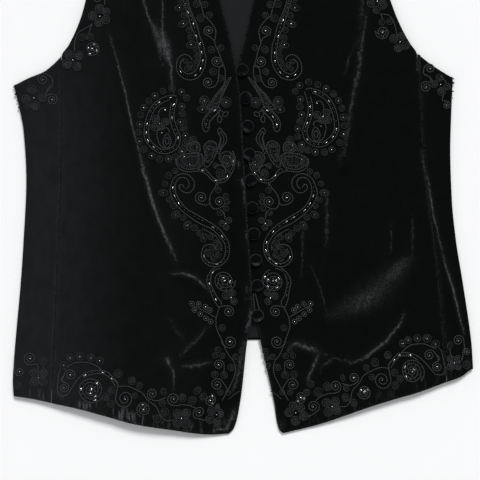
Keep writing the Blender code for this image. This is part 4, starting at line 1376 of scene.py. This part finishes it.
def stitchBlossom(work, cut):  # the flower head under the inner vine
    at = Ground(work, bandPlace(cut))
    at.sew(blossom, "lobes", "beaded")
    tail = smoothLine(blossom["tail"], closed=True)
    at.cord(tail)
    at.cord(shrunk(tail, blossom["tailInner"]), pale=0.6)
    at.bugles(smoothLine(blossom["beadRow"]))
    at.sew(blossom, "rings", "lines")


def stitchPaisley(work, cut):
    at = Ground(work, bandPlace(cut, paisley["lifted"][cut["name"]]))
    line, wide = smoothLine(paisley["outer"]), paisley["bandWide"]
    at.cord(line)
    at.cord(besides(line, -wide)[8:-7])
    at.bugles(besides(line, -wide / 2)[3:-3])
    for k, (x, y) in enumerate(paisley["budPlaces"]):
        at.disc(x, y, paisley["budSize"], bead=paisley["bead"] if k % 2 else None)
    drop = smoothLine(paisley["drop"], closed=True)
    at.cord(drop)
    at.cord(shrunk(drop, paisley["dropInner"]))
    at.sew(paisley, "petals", "lines", "seeds")


def stitchCluster(work, cut):
    at = Ground(work, bandPlace(cut))
    outer = smoothLine(cluster["cupOuter"])
    at.cord(outer)
    at.bugles(stretch(besides(outer, -cluster["beadGap"]), *cluster["beadRow"]))
    horn = smoothLine(cluster["horn"], closed=True)
    at.cord(horn)
    at.cord(shrunk(horn, cluster["hornInner"]), pale=0.8)
    at.sew(cluster, "lobes", "buds", "lines")


def stitchMiddle(work, cut):
    at = Ground(work, bandPlace(cut))
    at.line(*scroll["start"], *scroll["inner"])
    at.bugles(besides(smoothLine(scroll["inner"][:-4]), scroll["beadGap"]))
    at.sew(scroll, "lines", "faint", "buds", "beaded")
    at.sew(middle, "curls", "buds", "petals", "lines", "faint")
    comma = smoothLine(middle["comma"])
    at.cord(comma)
    at.bugles(besides(comma, -middle["commaGap"])[4:-8])
    at.sew(middle, "rosettes", "sprig")


def stitchHem(work, cut):
    at = Ground(work, hemPlace(cut))
    at.sew(hemBand, "curls", "buds", "beaded", "petals", "rosettes", "lines")
    arch, wide = smoothLine(hemBand["arch"]), hemBand["archWide"]
    at.cord(arch)
    at.cord(stretch(besides(arch, -wide), *hemBand["archUnder"]))
    at.bugles(stretch(besides(arch, -wide / 2), *hemBand["archBeads"])[3:], hemBand["archPitch"])
    Ground(work).sew(hemSides[cut["name"]], "curls", "buds", "flowers", "lines")


def stitchArmhole(work, cut):
    at, look = Ground(work), armholes[cut["name"]]
    at.sew(look, "petals", "curls", "buds", "rosettes", "lines")
    for y, size in look["picots"]:
        x = float(curveThrough(cut["fold"], y)) + cut["out"] * embroidery["picotOut"]
        at.seed(x, y, size, embroidery["picotGlint"])


stitches = {
    "length": 2.0,
    "gap": 1.5,
    "radius": 0.3,
    "closing": {"in": 1.0, "foot": -300.0, "top": 300.0, "pale": {"right": 0.9, "left": 0.9}},
    "seam": {"in": -0.9, "foot": -255.0, "belowJoin": 4.0, "pale": {"right": 0.2, "left": 0.5}},
}


def stitchSeams(work, cut):  # small stitches along the closing edge and the neck, and down the side seam
    at = Ground(work)
    closing, seam = stitches["closing"], stitches["seam"]
    rows = ((closing, "centre", closing["top"]), (seam, "seam", cut["joinY"] - seam["belowJoin"]))
    for look, edge, top in rows:
        y = np.arange(look["foot"], top, 2.0)
        line = np.stack([curveThrough(cut[edge], y) + cut["out"] * look["in"], y], axis=1)
        far = distances(line)
        start = 0.0
        while start < far[-1] - 2 * stitches["length"]:
            length = stitches["length"] * at.draw.uniform(0.7, 1.4)
            piece = pointsAt(line, far, np.array([start, start + length / 2, start + length]))
            at.cord(piece, stitches["radius"], look["pale"][cut["name"]] * at.draw.uniform(0.1, 1.0))
            start += length + stitches["gap"] * at.draw.uniform(0.6, 1.6)


# Round shapes: cord, beads and buttons

def roundAngles(sides):
    return np.arange(sides) / sides * 2 * math.pi


def tubeRings(line, normals, radius, sides):
    way = unit(np.gradient(line, axis=0))
    across = unit(np.cross(way, normals))
    up = np.cross(across, way)
    angle = roundAngles(sides) + math.pi / sides
    spread = across[:, None] * np.cos(angle)[:, None] + up[:, None] * np.sin(angle)[:, None]
    return line[:, None] + spread * radius


def turnedRings(foot, normal, radius, height, angle):  # rings round the normal, the lowest first
    first = unit(np.cross((0.0, 1.0, 0.0), normal))
    second = np.cross(normal, first)
    spread = first * np.cos(angle)[:, None] + second * np.sin(angle)[:, None]
    return foot + normal * height[..., None] + spread * radius[..., None]


def twistRound(far, sides, lead):
    return far[:, None] + np.arange(sides) / sides * lead


class Rings:  # rows of rings, each row one closed body, with values for the shader
    def __init__(self):
        self.points, self.quads, self.caps, self.values, self.count = [], [], [], {}, 0

    def add(self, rings, **values):
        shape = rings.shape[:2]
        here = self.count + np.arange(shape[0] * shape[1]).reshape(shape)
        beside = np.roll(here, -1, axis=1)
        self.points.append(rings.reshape(-1, 3))
        self.quads.append(np.stack([here[:-1], here[1:], beside[1:], beside[:-1]], axis=-1).reshape(-1, 4))
        self.caps.append(np.array([here[0], here[-1, ::-1]]))
        for key, value in values.items():
            self.values.setdefault(key, []).append(np.broadcast_to(value, shape).ravel())
        self.count += here.size

    def make(self, name, material):
        faces = [np.concatenate(self.quads), np.concatenate(self.caps)]
        values = {key: np.concatenate(parts) for key, parts in self.values.items()}
        return makeMesh(name, np.concatenate(self.points), faces, material, values)


def makeCords(cut, work, material):
    lines = [(evenly(line, embroidery["step"]), radius, pale) for line, radius, pale in work["cords"]]
    base, normal = onCloth(cut, np.concatenate([line for line, _, _ in lines]))
    sides, cording, used = embroidery["cordSides"], Rings(), 0
    for line, radius, pale in lines:
        part = slice(used, used + len(line))
        spine = base[part] + normal[part] * (embroidery["lift"] * radius / embroidery["cordRadius"])
        twist = twistRound(distances(spine), sides, embroidery["lead"])
        cording.add(tubeRings(spine, normal[part], radius, sides), twist=twist, pale=pale)
        used += len(line)
    return cording.make(f"{cut['name']}Cording", material)


def makeBeads(cut, work, material):
    sides, lift, beads = embroidery["beadSides"], embroidery["beadLift"], Rings()
    ends, normals = onCloth(cut, np.concatenate([ends for ends, _ in work["bugles"]]))
    ends = ends + normals * lift
    for k, (_, glint) in enumerate(work["bugles"]):
        pair = slice(2 * k, 2 * k + 2)
        beads.add(tubeRings(ends[pair], normals[pair], embroidery["bugleRadius"], sides), glint=glint)
    places, normals = onCloth(cut, np.array([place for place, _, _ in work["seeds"]]))
    radius, height = np.array(embroidery["seedProfile"]).T[..., None]
    for place, normal, (_, size, glint) in zip(places, normals, work["seeds"]):
        heart = place + normal * lift
        beads.add(turnedRings(heart, normal, radius * size, height * size, roundAngles(sides)), glint=glint)
    return beads.make(f"{cut['name']}Beads", material)


def embroider(cut, cordPaint, beadPaint):
    work = {"cords": [], "bugles": [], "seeds": []}
    work["draw"] = np.random.default_rng(embroidery["seed"][cut["name"]])
    for region in (stitchNeck, stitchBlossom, stitchPaisley, stitchCluster, stitchMiddle, stitchHem,
                   stitchArmhole, stitchSeams):
        region(work, cut)
    counts = [f"{len(work[kind])} {kind}" for kind in ("cords", "bugles", "seeds")]
    print(cut["name"], "embroidery:", ", ".join(counts))
    return makeCords(cut, work, cordPaint), makeBeads(cut, work, beadPaint)


# Buttons and their loops, on the wearer's left front

buttons = {
    "places": [76.1, 46.1, 15.3, -15.0, -42.9, -73.0, -101.2, -129.6, -157.2, -189.8],  # y, from the top
    "fromEdge": 6.1,
    "gap": 0.3,  # under the shank
    "sides": 44,
    "profile": [  # radius and height, from the shank up to the crown
        (1.7, 0.0), (1.8, 2.2), (3.8, 2.25), (5.6, 2.4), (6.3, 2.6), (6.62, 2.95), (6.66, 3.25),
        (6.5, 3.5), (6.42, 3.62), (6.3, 3.95), (5.9, 4.4), (5.1, 4.85), (3.9, 5.2), (2.5, 5.42),
        (1.2, 5.52), (0.4, 5.54),
    ],
    "uneven": 0.006,  # share of the radius
    "waves": (2, 3, 5, 7),
    "rim": {"radius": 6.6, "wide": 0.4, "height": 3.4, "high": 0.6},  # where the rim is painted paler, as sheen where the velvet bends
    "sheenMarks": {"radius": 5.2, "wide": 1.5, "above": 3.5, "turn": 0.75},
    "worn": [  # number, direction in degrees, strength: crescents of painted sheen on the dome's shoulder
        (1, -80, 0.35), (2, 20, 0.3), (3, -120, 0.75), (4, -125, 0.75), (5, -60, 0.3), (8, -90, 1.0),
        (9, -70, 0.3), (10, -80, 1.5),
    ],
}
loops = {
    "radius": 0.75,
    "turn": 3.05,  # round the button's shank
    "gap": 0.3,
    "sides": 8,
    "step": 0.7,
    "lead": 1.6,  # how far the twist leads round the cord
    "snug": {"up": 0.0, "clear": 0.4, "spread": 3.05},
    "pulled": {"up": 24.0, "clear": 2.3, "spread": 1.1},  # the lowest one, pulled long
}


def closingX(y):
    return float(curveThrough(rightCut["centre"], y))


def buttonPlace(number):
    y = buttons["places"][number - 1]
    return closingX(y) + buttons["fromEdge"], y


def makeButton(number, material):
    base, normal = (rows[0] for rows in onCloth(leftCut, np.array([buttonPlace(number)])))
    draw, angle = np.random.default_rng(number), roundAngles(buttons["sides"])
    waves = [draw.uniform(-1, 1) * np.sin(angle * k + draw.uniform(0, 6.3)) for k in buttons["waves"]]
    uneven = sum(waves) / len(waves)
    radius, height = np.array(buttons["profile"]).T[..., None]
    edge, sheenMarks = buttons["rim"], buttons["sheenMarks"]
    rim = bell(radius, edge["radius"], edge["wide"]) * bell(height, edge["height"], edge["high"])
    paleSheen = np.zeros(len(angle))
    for which, way, strength in buttons["worn"]:
        if which == number:
            turn = np.angle(np.exp(1j * (angle - math.radians(way))))  # from -pi to pi
            paleSheen += strength * bell(turn, 0, sheenMarks["turn"])
    worn = paleSheen * bell(radius, sheenMarks["radius"], sheenMarks["wide"]) * (height > sheenMarks["above"])
    button = Rings()
    foot = base + normal * buttons["gap"]
    rings = turnedRings(foot, normal, radius * (1 + buttons["uneven"] * uneven), height, angle)
    button.add(rings, rim=rim * (0.8 + 0.7 * uneven), worn=worn)
    return button.make(f"coveredButton{number:02d}", material)


def makeLoop(number, material):  # two arms from the closing edge, and a turn round the shank
    centre = np.array(buttonPlace(number))
    lie = loops["pulled" if number == len(buttons["places"]) else "snug"]
    rootY = centre[1] + lie["up"]
    root = np.array([closingX(rootY) + lie["clear"], rootY])
    way = unit(centre - root)
    wide = np.array([-way[1], way[0]])
    arms = []
    for hand in (1, -1):
        start, end = root + hand * wide * lie["spread"], centre + hand * wide * loops["turn"]
        if lie is loops["snug"]:
            start[0] = closingX(start[1]) + lie["clear"]
        arms.append([between(start, end, share) for share in (0.0, 0.35, 0.7)])
    turns = np.radians(np.linspace(90, -90, 13))
    turn = [centre + loops["turn"] * (way * math.cos(a) + wide * math.sin(a)) for a in turns]
    base, normal = onCloth(leftCut, smoothLine([*arms[0], *turn, *arms[1][::-1]], step=loops["step"]))
    spine = base + normal * (loops["gap"] + loops["radius"])
    loop = Rings()
    twist = twistRound(np.arange(len(spine)) * loops["step"], loops["sides"], loops["lead"])
    loop.add(tubeRings(spine, normal, loops["radius"], loops["sides"]), twist=twist)
    return loop.make(f"cordLoop{number:02d}", material)


buttonLook = {
    "deep": (0.0010, 0.0011, 0.0014, 1.0),
    "nap": (0.0024, 0.0026, 0.0030, 1.0),
    "paleSheen": (0.11, 0.114, 0.12, 1.0),
    "grain": (1300.0, 2.0, 0.6),
    "sheenMarks": (420.0, 3.0, 0.65),
    "fixed": {"Sheen Weight": 0.05, "Sheen Roughness": 0.3, "Specular IOR Level": 0.03},
}
loopLook = {
    "shadedGroove": (0.008, 0.0085, 0.009, 1.0),
    "ridge": (0.034, 0.036, 0.038, 1.0),
    "turns": 6.283,
    "fixed": {"Sheen Weight": 0.05, "Specular IOR Level": 0.15},
}


def buttonMaterial(look=buttonLook):
    paint = Paint("coveredButton", look["fixed"])
    grain = paint.noise(*look["grain"])
    nap = paint.fit(paint.noise(*look["sheenMarks"]), 0.35, 0.7)
    # painted sheen round the rim and in the crescents, broken up by noise
    pale = paint.clamp(paint.attribute("worn") * nap + paint.attribute("rim") * (0.35 + 0.5 * nap))
    colour = paint.blend(paint.fit(grain, 0.2, 0.8), look["deep"], look["nap"])
    colour = paint.blend(pale, colour, look["paleSheen"])
    return paint.finish(Base_Color=colour, Roughness=0.7 + 0.2 * grain, Normal=paint.bump(grain, 0.4, 0.2))


def loopMaterial(look=loopLook):
    paint = Paint("loopCord", look["fixed"])
    ridge = (paint.attribute("twist") * look["turns"]).maths("SINE")
    # painted shade in the twist's grooves and painted highlight on its ridges
    colour = paint.blend(paint.fit(ridge, -1.0, 1.0), look["shadedGroove"], look["ridge"])
    return paint.finish(Base_Color=colour, Roughness=0.45 + 0.1 * ridge, Normal=paint.bump(ridge, 0.5, 0.2))


# Making it all

def dress(piece, slot, *nodes):
    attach(piece, "root")
    if nodes:
        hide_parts(*nodes)


setCamera()
setLight()
makeFloor()
velvet = velvetMaterial("blackVelvet")
plainVelvet = velvetMaterial("backVelvet", marked=False)
lining = liningMaterial()
print("camera, light and materials ready")

sheets = {}
for cut in (rightCut, leftCut):
    sheets[cut["name"] + "_front"] = makeFront(cut, velvet)
    sheets[cut["name"] + "_side"] = makeSide(cut, velvet)
sheets["back"] = clothShell("backCloth", backGrid(backInset, cloth["back"] / 2), cloth["back"], plainVelvet)
sheets["back_lining"] = clothShell(
    "liningCloth", backGrid(liningInset, liningBottom + cloth["lining"] / 2), cloth["lining"], lining)
for node, (piece, area, flat) in sheets.items():
    dress(piece, "lining" if node == "back_lining" else "velvet", node)

cordPaint, beadPaint = cordMaterial(), beadMaterial()
for cut in (rightCut, leftCut):
    cording, beads = embroider(cut, cordPaint, beadPaint)
    dress(cording, "thread")
    dress(beads, "bead")

buttonPaint, loopPaint = buttonMaterial(), loopMaterial()
for number in range(1, len(buttons["places"]) + 1):
    dress(makeButton(number, buttonPaint), "covered_button", f"button_{number:02d}")
    dress(makeLoop(number, loopPaint), "loop_cord", f"loop_{number:02d}")
print("buttons and loops ready")
